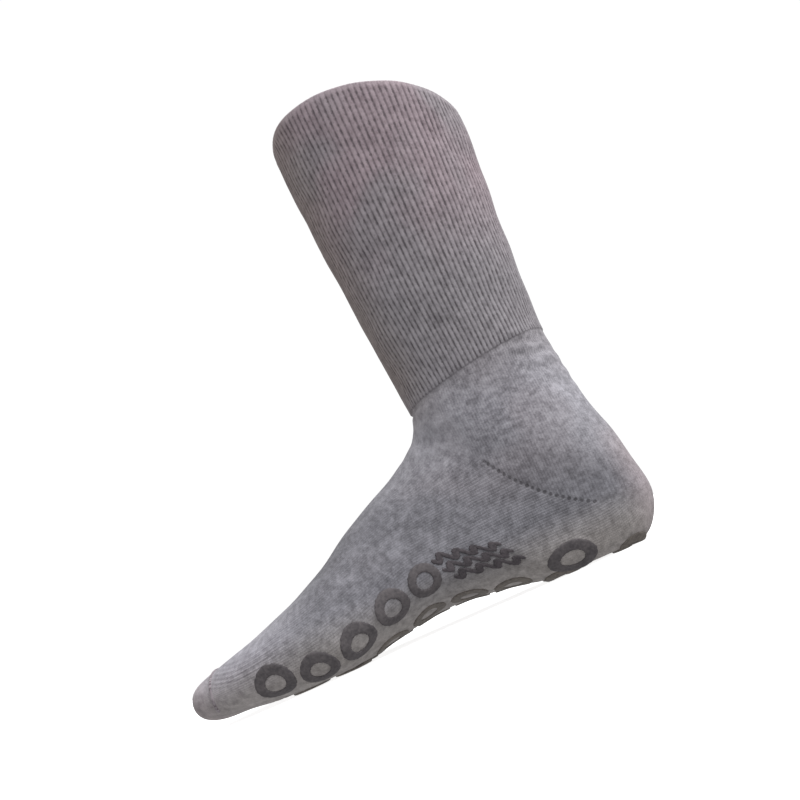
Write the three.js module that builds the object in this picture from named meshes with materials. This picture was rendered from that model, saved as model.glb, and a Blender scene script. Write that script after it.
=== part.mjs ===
import * as THREE from 'three';

// A knitted slipper sock for a right foot, standing empty on its gripped sole in the form that it is worn in.
// Lengths are millimetres. +X points to the toe, +Y to the arch side of the foot, +Z up from the floor.
// The origin is on the floor, under the middle of the sock's outline.

// Foot sizes
const FOOT_LENGTH = 245;
const BALL_WIDTH = 92;
const HEEL_WIDTH = 63;
const INSTEP_HEIGHT = 88;
const ARCH_LIFT = 9;

// Leg sizes
const COLLAR_FRONT_HEIGHT = 268;
const COLLAR_BACK_HEIGHT = 243;
const COLLAR_SIDE_LIFT = 7;
const COLLAR_DEPTH = 101;
const COLLAR_WIDTH = 93;
const RIB_FRONT_HEIGHT = 104;
const RIB_BACK_HEIGHT = 116;
const ANKLE_DEPTH = 80;
const ANKLE_WIDTH = 66;
const ACHILLES_HOLLOW = 13;

// Knit
const WALL = 1.8;
const RIB_STEP = 0.4;
const RIB_STEP_LENGTH = 1;
const RIM_ROUNDING = 0.6;
const LEG_ROUNDNESS = 2.15;

// Grip print
const GRIP_THICKNESS = 0.8;
const CLEARANCE = 0.3;
const RING_DIAMETER = 18.8;
const RING_HOLE = 9.4;
const RING_PITCH = 21.6;
const HEEL_OVAL_LENGTH = 26;
const WAVE_COUNT = 3;
const WAVE_CRESTS = 4;
const WAVE_HEIGHT = 2;
const WAVE_BAND = 2.2;
const WAVE_PITCH = 6.4;
const WAVE_GAP = 3;

// Toe seam
const SEAM_BEHIND_TOE = 15;
const SEAM_BAND = 1.8;
const SEAM_HEIGHT = 0.6;
const SEAM_REACH = 0.31;

// Facets
const POINTS_AROUND = 36;
const FINE_POINTS = 72;
const RING_SEGMENTS = 18;
const WAVE_STEPS = 16;
const SEAM_STEPS = 22;

// The knit stands on its grips: the print's thickness and its clearance lie under it.
const SOLE_LEVEL = GRIP_THICKNESS + CLEARANCE;

// Each table has named columns and one row for each section of the sock, from collar to toe.
function table(columns, rows) {
  return rows.map((row) => Object.fromEntries(columns.map((name, i) => [name, row[i]])));
}

// Leg: rise goes from the rib boundary (0) to the collar (1). lean goes from the hollow over the heel (0) to
// the line of the heel's back (1). deep and wide go from the ankle's size (0) to the collar's (1).
const LEG_ROWS = table(
  ['rise', 'lean', 'deep', 'wide', 'steps'],
  [
    [1.0, 0.75, 1.0, 1.0, 2],
    [0.78, 0.58, 0.8, 0.85, 2],
    [0.52, 0.33, 0.54, 0.62, 2],
    [0.26, 0.1, 0.25, 0.34, 2],
    [0.0, 0.0, 0.0, 0.0, 1],
  ],
);

// Heel pocket, fanning round the front of the ankle: along is a share of the foot's length from the heel's
// back, height a share of the instep's height and wide a share of the heel's width. widest says how far down
// the section it is widest, and the two round columns are the exponents of its upper and lower curves.
const HEEL_ROWS = table(
  ['topAlong', 'topHeight', 'lowAlong', 'lowHeight', 'wide', 'widest', 'roundTop', 'roundLow', 'steps'],
  [
    [0.3845, 1.142, 0.05, 1.06, 1.05, 0.5, 2.2, 2.2, 2],
    [0.391, 1.091, 0.032, 0.76, 1.06, 0.5, 2.2, 2.3, 2],
    [0.4, 1.049, 0.008, 0.46, 1.06, 0.52, 2.1, 2.4, 2],
    [0.41, 1.014, 0.003, 0.22, 1.04, 0.55, 2.0, 2.6, 2],
    [0.4225, 0.982, 0.032, 0.055, 1.03, 0.58, 1.95, 2.8, 2],
    [0.437, 0.952, 0.09, -0.01, 1.02, 0.6, 1.9, 3.0, 2],
    [0.457, 0.92, 0.17, -0.014, 1.02, 0.62, 1.85, 3.1, 2],
  ],
);

// Foot: the sides are shares of half the ball's width, medial on the arch side and lateral on the other, and
// ridge is where the top of the section lies between them. arch is a share of the arch's lift.
const FOOT_ROWS = table(
  [
    'topAlong', 'topHeight', 'lowAlong', 'lowHeight', 'medial', 'lateral', 'ridge',
    'widest', 'roundTop', 'roundLow', 'arch', 'steps',
  ],
  [
    [0.482, 0.881, 0.26, 0.005, 0.7, 0.73, 0.02, 0.64, 1.8, 3.0, 0.3, 2],
    [0.516, 0.83, 0.36, 0.04, 0.71, 0.79, 0.05, 0.66, 1.78, 2.8, 0.8, 2],
    [0.565, 0.756, 0.47, 0.068, 0.77, 0.88, 0.09, 0.68, 1.78, 2.8, 1.0, 2],
    [0.6245, 0.66, 0.58, 0.035, 0.88, 0.96, 0.13, 0.69, 1.82, 2.9, 0.6, 2],
    [0.69, 0.555, 0.675, -0.004, 1.0, 1.0, 0.15, 0.66, 1.9, 3.0, 0.15, 2],
    [0.76, 0.453, 0.76, -0.006, 1.0, 0.975, 0.17, 0.6, 2.05, 3.0, 0.0, 2],
    [0.833, 0.375, 0.84, 0.008, 0.94, 0.85, 0.19, 0.55, 2.25, 2.7, 0.0, 2],
    [0.9, 0.318, 0.906, 0.025, 0.84, 0.65, 0.21, 0.5, 2.3, 2.4, 0.0, 2],
    [0.948, 0.29, 0.952, 0.039, 0.73, 0.44, 0.22, 0.5, 2.25, 2.3, 0.0, 1],
    [0.979, 0.262, 0.981, 0.058, 0.63, 0.24, 0.22, 0.5, 2.15, 2.2, 0.0, 1],
    [0.995, 0.221, 0.996, 0.09, 0.49, 0.05, 0.22, 0.5, 2.05, 2.05, 0.0, 1],
    [1.0, 0.155, 1.0, 0.155, 0.22, -0.22, 0.22, 0.5, 2.0, 2.0, 0.0, 0],
  ],
);

// Columns of rings under the forefoot: start and end are the limits of their middles, as shares of the foot's
// length from the heel's back, and across is the distance from the sole's middle as a share of the ball's width.
const RING_COLUMNS = table(
  ['name', 'start', 'end', 'across'],
  [
    ['outer', 0.457, 0.815, 0.467],
    ['inner', 0.331, 0.78, 0.147],
  ],
);

// Rings under the heel: along is a share of the foot's length and across of the heel's width.
const HEEL_RINGS = table(
  ['name', 'along', 'across', 'length'],
  [
    ['rear', 0.09, 0.19, RING_DIAMETER],
    ['side', 0.188, 0.46, HEEL_OVAL_LENGTH],
    ['front', 0.233, 0.175, RING_DIAMETER],
  ],
);

const HEEL_BACK = -FOOT_LENGTH / 2;
const HEEL_HALF = HEEL_WIDTH / 2;
const BALL_HALF = BALL_WIDTH / 2;
const { lerp, clamp } = THREE.MathUtils;

// A section is a closed curve in the plane of Y and of the line from its top point to its low point.
function legSection(row) {
  const back = HEEL_BACK + ACHILLES_HOLLOW * (1 - row.lean);
  const half = lerp(ANKLE_WIDTH, COLLAR_WIDTH, row.wide) / 2;
  return {
    topX: back + lerp(ANKLE_DEPTH, COLLAR_DEPTH, row.deep),
    topZ: lerp(RIB_FRONT_HEIGHT, COLLAR_FRONT_HEIGHT, row.rise),
    lowX: back,
    lowZ: lerp(RIB_BACK_HEIGHT, COLLAR_BACK_HEIGHT, row.rise),
    medial: half,
    lateral: half,
    ridge: 0,
    widest: 0.5,
    roundTop: LEG_ROUNDNESS,
    roundLow: LEG_ROUNDNESS,
    arch: 0,
    sideLift: COLLAR_SIDE_LIFT * row.rise ** 2,
  };
}

function heelSection(row) {
  return {
    topX: HEEL_BACK + row.topAlong * FOOT_LENGTH,
    topZ: row.topHeight * INSTEP_HEIGHT,
    lowX: HEEL_BACK + row.lowAlong * FOOT_LENGTH,
    lowZ: row.lowHeight * INSTEP_HEIGHT,
    medial: row.wide * HEEL_HALF,
    lateral: row.wide * HEEL_HALF,
    ridge: 0,
    widest: row.widest,
    roundTop: row.roundTop,
    roundLow: row.roundLow,
    arch: 0,
    sideLift: 0,
  };
}

function footSection(row) {
  return {
    topX: HEEL_BACK + row.topAlong * FOOT_LENGTH,
    topZ: row.topHeight * INSTEP_HEIGHT,
    lowX: HEEL_BACK + row.lowAlong * FOOT_LENGTH,
    lowZ: row.lowHeight * INSTEP_HEIGHT,
    medial: row.medial * BALL_HALF,
    lateral: row.lateral * BALL_HALF,
    ridge: row.ridge * BALL_HALF,
    widest: row.widest,
    roundTop: row.roundTop,
    roundLow: row.roundLow,
    arch: row.arch * ARCH_LIFT,
    sideLift: 0,
  };
}

const SECTIONS = [
  ...LEG_ROWS.map(legSection),
  ...HEEL_ROWS.map(heelSection),
  ...FOOT_ROWS.map(footSection),
];
const SECTION_STEPS = [...LEG_ROWS, ...HEEL_ROWS, ...FOOT_ROWS].map((row) => row.steps);
const RIB_STATION = LEG_ROWS.length - 1;
const SOLE_STATION = LEG_ROWS.length + 3;
const TOE_STATION = SECTIONS.length - 1;

// The section at a station between two rows follows a Catmull-Rom curve through the rows beside it.
function sectionAt(station) {
  const last = SECTIONS.length - 1;
  const i = clamp(Math.floor(station), 0, last - 1);
  const f = station - i;
  const [a, b, c, d] = [i - 1, i, i + 1, i + 2].map((k) => SECTIONS[clamp(k, 0, last)]);
  const blended = {};
  for (const name of Object.keys(b)) {
    const slopeIn = (c[name] - a[name]) / 2;
    const slopeOut = (d[name] - b[name]) / 2;
    const rise = c[name] - b[name];
    blended[name] =
      b[name] + f * (slopeIn + f * (3 * rise - 2 * slopeIn - slopeOut + f * (slopeIn + slopeOut - 2 * rise)));
  }
  return blended;
}

// A point of a section's curve: turn is 0 at its top and 1 at its low point, side is 1 on the arch side.
function curvePoint(section, turn, side) {
  const { topX, topZ, lowX, lowZ, ridge, medial, lateral, widest } = section;
  const angle = turn * Math.PI;
  const above = angle <= Math.PI / 2;
  const power = 2 / (above ? section.roundTop : section.roundLow);
  const reach = Math.abs(Math.cos(angle)) ** power;
  const down = above ? widest * (1 - reach) : widest + (1 - widest) * reach;
  const out = Math.abs(Math.sin(angle)) ** power;
  const keel = (medial - lateral) / 2;
  const edge = (side > 0 ? medial : -lateral) - lerp(ridge, keel, widest);
  const y = lerp(ridge, keel, down) + edge * out;
  const across = clamp((y + lateral) / Math.max(medial + lateral, 1), 0, 1);
  const under = clamp((down - widest) / (1 - widest), 0, 1);
  const lift = section.arch * across ** 2 * under + section.sideLift * out;
  return new THREE.Vector3(
    lerp(topX, lowX, down),
    y,
    Math.max(lerp(topZ, lowZ, down) + lift, SOLE_LEVEL),
  );
}

// Half of a section's curve as points from its top to its low point, with their distances along it.
function halfCurve(station, side) {
  const section = sectionAt(station);
  const points = [];
  const distances = [0];
  for (let k = 0; k <= FINE_POINTS; k += 1) {
    points.push(curvePoint(section, k / FINE_POINTS, side));
    if (k > 0) distances.push(distances[k - 1] + points[k].distanceTo(points[k - 1]));
  }
  return { points, distances, length: distances[FINE_POINTS] };
}

function pointAlong(half, distance) {
  const d = clamp(distance, 0, half.length);
  let k = 1;
  while (k < FINE_POINTS && half.distances[k] < d) k += 1;
  const step = half.distances[k] - half.distances[k - 1];
  const f = step > 0 ? (d - half.distances[k - 1]) / step : 0;
  return half.points[k - 1].clone().lerp(half.points[k], f);
}

// A point of the outer skin: around runs once round the sock, from the top over the arch side (0.5 is the
// middle of the sole), and points are spread evenly along each half.
function skinPoint(station, around) {
  const turn = around - Math.floor(around);
  const side = turn <= 0.5 ? 1 : -1;
  const half = halfCurve(station, side);
  return pointAlong(half, half.length * 2 * (side > 0 ? turn : 1 - turn));
}

const NORMAL_STEP = 0.03;
function outward(alongStart, alongEnd, aroundStart, aroundEnd) {
  const along = alongEnd.clone().sub(alongStart);
  const around = aroundEnd.clone().sub(aroundStart);
  return along.cross(around).normalize();
}

function skinNormal(station, around) {
  const before = Math.max(station - NORMAL_STEP, 0);
  const after = Math.min(station + NORMAL_STEP, TOE_STATION - NORMAL_STEP);
  const turn = NORMAL_STEP / 4;
  return outward(
    skinPoint(before, around),
    skinPoint(after, around),
    skinPoint(station, around - turn),
    skinPoint(station, around + turn),
  );
}

// Rings of equally many points become one closed skin. open rings are capped with an end point each, and
// looped ones join the last ring to the first.
function skinRings(rings, startPoint, endPoint) {
  const count = rings[0].length;
  const points = rings.flat();
  const faces = [];
  const looped = !startPoint;
  const bands = looped ? rings.length : rings.length - 1;
  for (let i = 0; i < bands; i += 1) {
    for (let k = 0; k < count; k += 1) {
      const a = i * count + k;
      const b = i * count + ((k + 1) % count);
      const c = ((i + 1) % rings.length) * count + k;
      const d = ((i + 1) % rings.length) * count + ((k + 1) % count);
      faces.push(a, b, c, b, d, c);
    }
  }
  if (!looped) {
    const start = points.push(startPoint) - 1;
    const end = points.push(endPoint) - 1;
    const lastRing = (rings.length - 1) * count;
    for (let k = 0; k < count; k += 1) {
      faces.push(start, (k + 1) % count, k);
      faces.push(end, lastRing + k, lastRing + ((k + 1) % count));
    }
  }
  const geometry = new THREE.BufferGeometry().setFromPoints(points);
  geometry.setIndex(facingOut(points, faces));
  geometry.computeVertexNormals();
  return geometry;
}

// Faces are turned round if the solid that they bound has a negative volume.
function facingOut(points, faces) {
  let volume = 0;
  for (let i = 0; i < faces.length; i += 3) {
    const [a, b, c] = [faces[i], faces[i + 1], faces[i + 2]].map((k) => points[k]);
    volume += a.dot(b.clone().cross(c));
  }
  return volume < 0 ? faces.slice().reverse() : faces;
}

// Knitted body: outer skin from toe to rim, then inner skin back to the toe.
function loftStations() {
  const stations = [];
  SECTION_STEPS.forEach((steps, row) => {
    for (let k = 0; k < steps; k += 1) stations.push(row + k / steps);
  });
  const boundary = stations.indexOf(RIB_STATION);
  const legLength = LEG_ROWS[RIB_STATION - 1].rise * (COLLAR_FRONT_HEIGHT - RIB_FRONT_HEIGHT);
  stations.splice(boundary, 0, RIB_STATION - RIB_STEP_LENGTH / legLength);
  return stations;
}

const LOFT_STATIONS = loftStations();

// Where the skin is hollow along the foot its facets stand out of the true curve, by this much at most.
function facetRise(station, around, normal) {
  const i = clamp(LOFT_STATIONS.findIndex((s) => s > station) - 1, 0, LOFT_STATIONS.length - 2);
  const [near, far] = [LOFT_STATIONS[i], LOFT_STATIONS[i + 1]];
  const share = (station - near) / (far - near);
  const line = Math.floor(around * POINTS_AROUND);
  const rises = [line, line + 1].map((k) => {
    const turn = k / POINTS_AROUND;
    const chord = skinPoint(near, turn).lerp(skinPoint(far, turn), share);
    return chord.sub(skinPoint(station, turn)).dot(normal);
  });
  return Math.max(...rises, 0);
}

function bodyRing(station, offset) {
  const ring = [];
  for (let k = 0; k < POINTS_AROUND; k += 1) {
    const around = k / POINTS_AROUND;
    ring.push(skinPoint(station, around).addScaledVector(skinNormal(station, around), offset));
  }
  return ring;
}

function knitBody() {
  const outer = LOFT_STATIONS.map((s) => bodyRing(s, s < RIB_STATION ? RIB_STEP : 0));
  const inner = LOFT_STATIONS.map((s) => bodyRing(s, -WALL));
  const rimMiddle = outer[0].map((point, k) => {
    const middle = point.clone().lerp(inner[0][k], 0.5);
    middle.z += RIM_ROUNDING;
    return middle;
  });
  const tip = skinPoint(TOE_STATION, 0);
  const innerTip = tip.clone().setX(tip.x - WALL);
  return skinRings([...outer.slice().reverse(), rimMiddle, ...inner], tip, innerTip);
}

// Places on the sole are given by their distance from the heel's back and by the distance across the skin
// from the middle of the sole, positive towards the arch side.
function soleStation(along) {
  let low = SOLE_STATION;
  let high = TOE_STATION;
  for (let k = 0; k < 30; k += 1) {
    const middle = (low + high) / 2;
    if (sectionAt(middle).lowX - HEEL_BACK < along) low = middle;
    else high = middle;
  }
  return low;
}

function soleTurn(station, across) {
  const side = across >= 0 ? 1 : -1;
  const half = halfCurve(station, side);
  const share = (half.length - Math.abs(across)) / half.length / 2;
  return side > 0 ? share : 1 - share;
}

function solePlace(along, across) {
  const station = soleStation(along);
  const around = soleTurn(station, across);
  const normal = skinNormal(station, around);
  return { point: skinPoint(station, around), normal, rise: facetRise(station, around, normal) };
}

// The print's section between two places on the sole: two corners clear of the knit, two outside. It keeps
// clear where the knit bulges between them, and the floor flattens it.
function printSection(near, far) {
  const [start, middle, end] = [0, 0.5, 1].map((share) =>
    solePlace(lerp(near[0], far[0], share), lerp(near[1], far[1], share)),
  );
  const chord = start.point.clone().lerp(end.point, 0.5);
  const bulge = Math.max(middle.point.clone().sub(chord).dot(middle.normal), 0);
  const clear = CLEARANCE + bulge + Math.max(start.rise, end.rise);
  const corner = (place, height, floor) => {
    const point = place.point.clone().addScaledVector(place.normal, height);
    return point.setZ(Math.max(point.z, floor));
  };
  return [
    corner(start, clear, GRIP_THICKNESS),
    corner(start, clear + GRIP_THICKNESS, 0),
    corner(end, clear + GRIP_THICKNESS, 0),
    corner(end, clear, GRIP_THICKNESS),
  ];
}

function ringGrip(along, across, length) {
  const stretch = length / RING_DIAMETER;
  const rings = [];
  for (let k = 0; k < RING_SEGMENTS; k += 1) {
    const angle = (k / RING_SEGMENTS) * 2 * Math.PI;
    const place = (radius) => [
      along + radius * stretch * Math.cos(angle),
      across + radius * Math.sin(angle),
    ];
    rings.push(printSection(place(RING_HOLE / 2), place(RING_DIAMETER / 2)));
  }
  return skinRings(rings);
}

function ringMiddle(ring) {
  return ring.reduce((sum, point) => sum.add(point), new THREE.Vector3()).divideScalar(ring.length);
}

// A bar of print along a path of places, square at its ends.
function barGrip(places, band) {
  const rings = places.map(({ along, across, slope }) => {
    const half = band / 2 / Math.hypot(1, slope);
    return printSection([along + slope * half, across - half], [along - slope * half, across + half]);
  });
  return skinRings(rings, ringMiddle(rings[0]), ringMiddle(rings.at(-1)));
}

// The waves fill the side of the arch between the heel's side ring and the first ring of the outer column.
const [OUTER_COLUMN] = RING_COLUMNS;
const SIDE_RING = HEEL_RINGS.find((ring) => ring.name === 'side');
const WAVE_START = SIDE_RING.along * FOOT_LENGTH + SIDE_RING.length / 2 + WAVE_GAP;
const WAVE_END = OUTER_COLUMN.start * FOOT_LENGTH - RING_DIAMETER / 2 - WAVE_GAP;
const WAVE_MIDDLE_ACROSS = OUTER_COLUMN.across * BALL_WIDTH + WAVE_HEIGHT;

function waveGrip(row, side) {
  const length = WAVE_END - WAVE_START;
  const turns = WAVE_CRESTS * 2 * Math.PI;
  const middle = WAVE_MIDDLE_ACROSS + (row - (WAVE_COUNT - 1) / 2) * WAVE_PITCH;
  const places = [];
  for (let k = 0; k <= WAVE_STEPS; k += 1) {
    const share = k / WAVE_STEPS;
    places.push({
      along: WAVE_START + share * length,
      across: side * middle + WAVE_HEIGHT * Math.sin(share * turns),
      slope: ((WAVE_HEIGHT * turns) / length) * Math.cos(share * turns),
    });
  }
  return barGrip(places, WAVE_BAND);
}

// Toe seam: a bead over the toes, from one side to the other.
function toeSeam() {
  const station = soleStation(FOOT_LENGTH - SEAM_BEHIND_TOE);
  const section = sectionAt(station);
  const perStation = sectionAt(station + NORMAL_STEP).topX - section.topX;
  const halfBand = ((SEAM_BAND / 2) * NORMAL_STEP) / perStation;
  const rings = [];
  for (let k = 0; k <= SEAM_STEPS; k += 1) {
    const around = lerp(-SEAM_REACH, SEAM_REACH, k / SEAM_STEPS);
    const corner = (offset, lift) =>
      skinPoint(station + offset, around).addScaledVector(skinNormal(station + offset, around), lift);
    rings.push([
      corner(-halfBand, CLEARANCE),
      corner(-halfBand / 2, CLEARANCE + SEAM_HEIGHT),
      corner(halfBand / 2, CLEARANCE + SEAM_HEIGHT),
      corner(halfBand, CLEARANCE),
    ]);
  }
  return skinRings(rings, ringMiddle(rings[0]), ringMiddle(rings.at(-1)));
}

const KNIT = new THREE.MeshStandardMaterial({ color: 0x8c8789, roughness: 0.95, metalness: 0 });
const SEAM_YARN = new THREE.MeshStandardMaterial({ color: 0x7d787b, roughness: 0.95, metalness: 0 });
const GRIP_PRINT = new THREE.MeshStandardMaterial({ color: 0x5f5a5c, roughness: 0.7, metalness: 0 });

const sock = new THREE.Group();

function addPiece(name, geometry, material) {
  const mesh = new THREE.Mesh(geometry, material);
  mesh.name = name;
  sock.add(mesh);
}

addPiece('knit_body', knitBody(), KNIT);
addPiece('toe_seam', toeSeam(), SEAM_YARN);

const SIDES = [
  ['medial', 1],
  ['lateral', -1],
];

for (const { name, start, end, across } of RING_COLUMNS) {
  const count = Math.floor(((end - start) * FOOT_LENGTH) / RING_PITCH) + 1;
  for (const [sideName, side] of SIDES) {
    for (let k = 0; k < count; k += 1) {
      const along = start * FOOT_LENGTH + k * RING_PITCH;
      const grip = ringGrip(along, side * across * BALL_WIDTH, RING_DIAMETER);
      addPiece(`forefoot_ring_${name}_${sideName}_${k + 1}`, grip, GRIP_PRINT);
    }
  }
}

for (const { name, along, across, length } of HEEL_RINGS) {
  for (const [sideName, side] of SIDES) {
    const grip = ringGrip(along * FOOT_LENGTH, side * across * HEEL_WIDTH, length);
    addPiece(`heel_ring_${name}_${sideName}`, grip, GRIP_PRINT);
  }
}

for (const [sideName, side] of SIDES) {
  for (let row = 0; row < WAVE_COUNT; row += 1) {
    addPiece(`arch_wave_${sideName}_${row + 1}`, waveGrip(row, side), GRIP_PRINT);
  }
}

export default sock;
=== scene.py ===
"""Looks of a grey marl slipper sock with grip print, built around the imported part.

Lengths are metres. +X points to the toe, +Y to the arch side of the foot and +Z up from the floor.
"""

import logging
import math
from dataclasses import dataclass, field
from enum import Enum
from typing import Any, Callable, NamedTuple, Optional, Sequence, Union

import bmesh
import bpy
import numpy as np
from mathutils import Matrix, Vector


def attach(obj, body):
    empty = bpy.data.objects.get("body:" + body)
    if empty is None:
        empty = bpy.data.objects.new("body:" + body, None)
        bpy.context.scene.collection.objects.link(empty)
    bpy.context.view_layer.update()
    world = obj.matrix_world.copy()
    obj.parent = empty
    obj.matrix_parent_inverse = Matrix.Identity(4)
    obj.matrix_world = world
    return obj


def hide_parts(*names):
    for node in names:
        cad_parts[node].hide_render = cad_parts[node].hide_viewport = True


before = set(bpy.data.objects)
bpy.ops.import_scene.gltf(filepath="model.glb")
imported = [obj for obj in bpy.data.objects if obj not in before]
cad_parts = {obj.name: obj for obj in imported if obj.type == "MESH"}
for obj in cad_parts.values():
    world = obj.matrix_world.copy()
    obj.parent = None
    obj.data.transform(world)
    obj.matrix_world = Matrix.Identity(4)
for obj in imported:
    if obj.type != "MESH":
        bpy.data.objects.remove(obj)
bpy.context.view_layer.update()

LOG = logging.getLogger("slipper_sock")
ROOT = "root"
MM = 0.001
RIBS = 104
IMAGE_SIZE = 800
SENSOR_WIDTH = 36.0
LEAST_LENGTH = 1e-14

Span = tuple[float, float]


class Side(Enum):
    """The two sides of the foot, with the sign of Y there."""

    MEDIAL = 1
    LATERAL = -1


class Slot(Enum):
    """The record's material slots."""

    KNIT = "marl_knit"
    YARN = "linking_yarn"
    PRINT = "grip_print"


def smoothstep(low: float, high: float, value: np.ndarray) -> np.ndarray:
    """A soft step from 0 to 1.

    Args:
        low: Where the step starts.
        high: Where the step ends.
        value: The values to judge.

    Returns:
        The step's height at each value.
    """
    share = np.clip((value - low) / (high - low), 0.0, 1.0)
    return share * share * (3.0 - 2.0 * share)


class LegRow(NamedTuple):
    """One section of the leg: rise from rib boundary to collar, lean, and shares of the collar's size."""

    rise: float
    lean: float
    deep: float
    wide: float


class HeelRow(NamedTuple):
    """One section of the heel pocket, in shares of the foot's length, instep's height and heel's width."""

    top_along: float
    top_height: float
    low_along: float
    low_height: float
    wide: float
    widest: float
    round_top: float
    round_low: float


class FootRow(NamedTuple):
    """One section of the foot, in shares of its length, the instep's height and half the ball's width."""

    top_along: float
    top_height: float
    low_along: float
    low_height: float
    medial: float
    lateral: float
    ridge: float
    widest: float
    round_top: float
    round_low: float
    arch: float


class Section(NamedTuple):
    """Sections of the knit: closed curves between a top point and a low point, as numbers or columns."""

    top_x: Any
    top_z: Any
    low_x: Any
    low_z: Any
    medial: Any
    lateral: Any
    ridge: Any
    widest: Any
    round_top: Any
    round_low: Any
    arch: Any
    side_lift: Any


LEG_ROWS = (
    LegRow(1.0, 0.75, 1.0, 1.0),
    LegRow(0.78, 0.58, 0.8, 0.85),
    LegRow(0.52, 0.33, 0.54, 0.62),
    LegRow(0.26, 0.1, 0.25, 0.34),
    LegRow(0.0, 0.0, 0.0, 0.0),
)

HEEL_ROWS = (
    HeelRow(0.3845, 1.142, 0.05, 1.06, 1.05, 0.5, 2.2, 2.2),
    HeelRow(0.391, 1.091, 0.032, 0.76, 1.06, 0.5, 2.2, 2.3),
    HeelRow(0.4, 1.049, 0.008, 0.46, 1.06, 0.52, 2.1, 2.4),
    HeelRow(0.41, 1.014, 0.003, 0.22, 1.04, 0.55, 2.0, 2.6),
    HeelRow(0.4225, 0.982, 0.032, 0.055, 1.03, 0.58, 1.95, 2.8),
    HeelRow(0.437, 0.952, 0.09, -0.01, 1.02, 0.6, 1.9, 3.0),
    HeelRow(0.457, 0.92, 0.17, -0.014, 1.02, 0.62, 1.85, 3.1),
)

FOOT_ROWS = (
    FootRow(0.482, 0.881, 0.26, 0.005, 0.7, 0.73, 0.02, 0.64, 1.8, 3.0, 0.3),
    FootRow(0.516, 0.83, 0.36, 0.04, 0.71, 0.79, 0.05, 0.66, 1.78, 2.8, 0.8),
    FootRow(0.565, 0.756, 0.47, 0.068, 0.77, 0.88, 0.09, 0.68, 1.78, 2.8, 1.0),
    FootRow(0.6245, 0.66, 0.58, 0.035, 0.88, 0.96, 0.13, 0.69, 1.82, 2.9, 0.6),
    FootRow(0.69, 0.555, 0.675, -0.004, 1.0, 1.0, 0.15, 0.66, 1.9, 3.0, 0.15),
    FootRow(0.76, 0.453, 0.76, -0.006, 1.0, 0.975, 0.17, 0.6, 2.05, 3.0, 0.0),
    FootRow(0.833, 0.375, 0.84, 0.008, 0.94, 0.85, 0.19, 0.55, 2.25, 2.7, 0.0),
    FootRow(0.9, 0.318, 0.906, 0.025, 0.84, 0.65, 0.21, 0.5, 2.3, 2.4, 0.0),
    FootRow(0.948, 0.29, 0.952, 0.039, 0.73, 0.44, 0.22, 0.5, 2.25, 2.3, 0.0),
    FootRow(0.979, 0.262, 0.981, 0.058, 0.63, 0.24, 0.22, 0.5, 2.15, 2.2, 0.0),
    FootRow(0.995, 0.221, 0.996, 0.09, 0.49, 0.05, 0.22, 0.5, 2.05, 2.05, 0.0),
    FootRow(1.0, 0.155, 1.0, 0.155, 0.22, -0.22, 0.22, 0.5, 2.0, 2.0, 0.0),
)

RIB_STATION = len(LEG_ROWS) - 1
SOLE_STATION = len(LEG_ROWS) + 3
FOOT_STATION = len(LEG_ROWS) + len(HEEL_ROWS) - 1
TOE_STATION = len(LEG_ROWS) + len(HEEL_ROWS) + len(FOOT_ROWS) - 1


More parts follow.
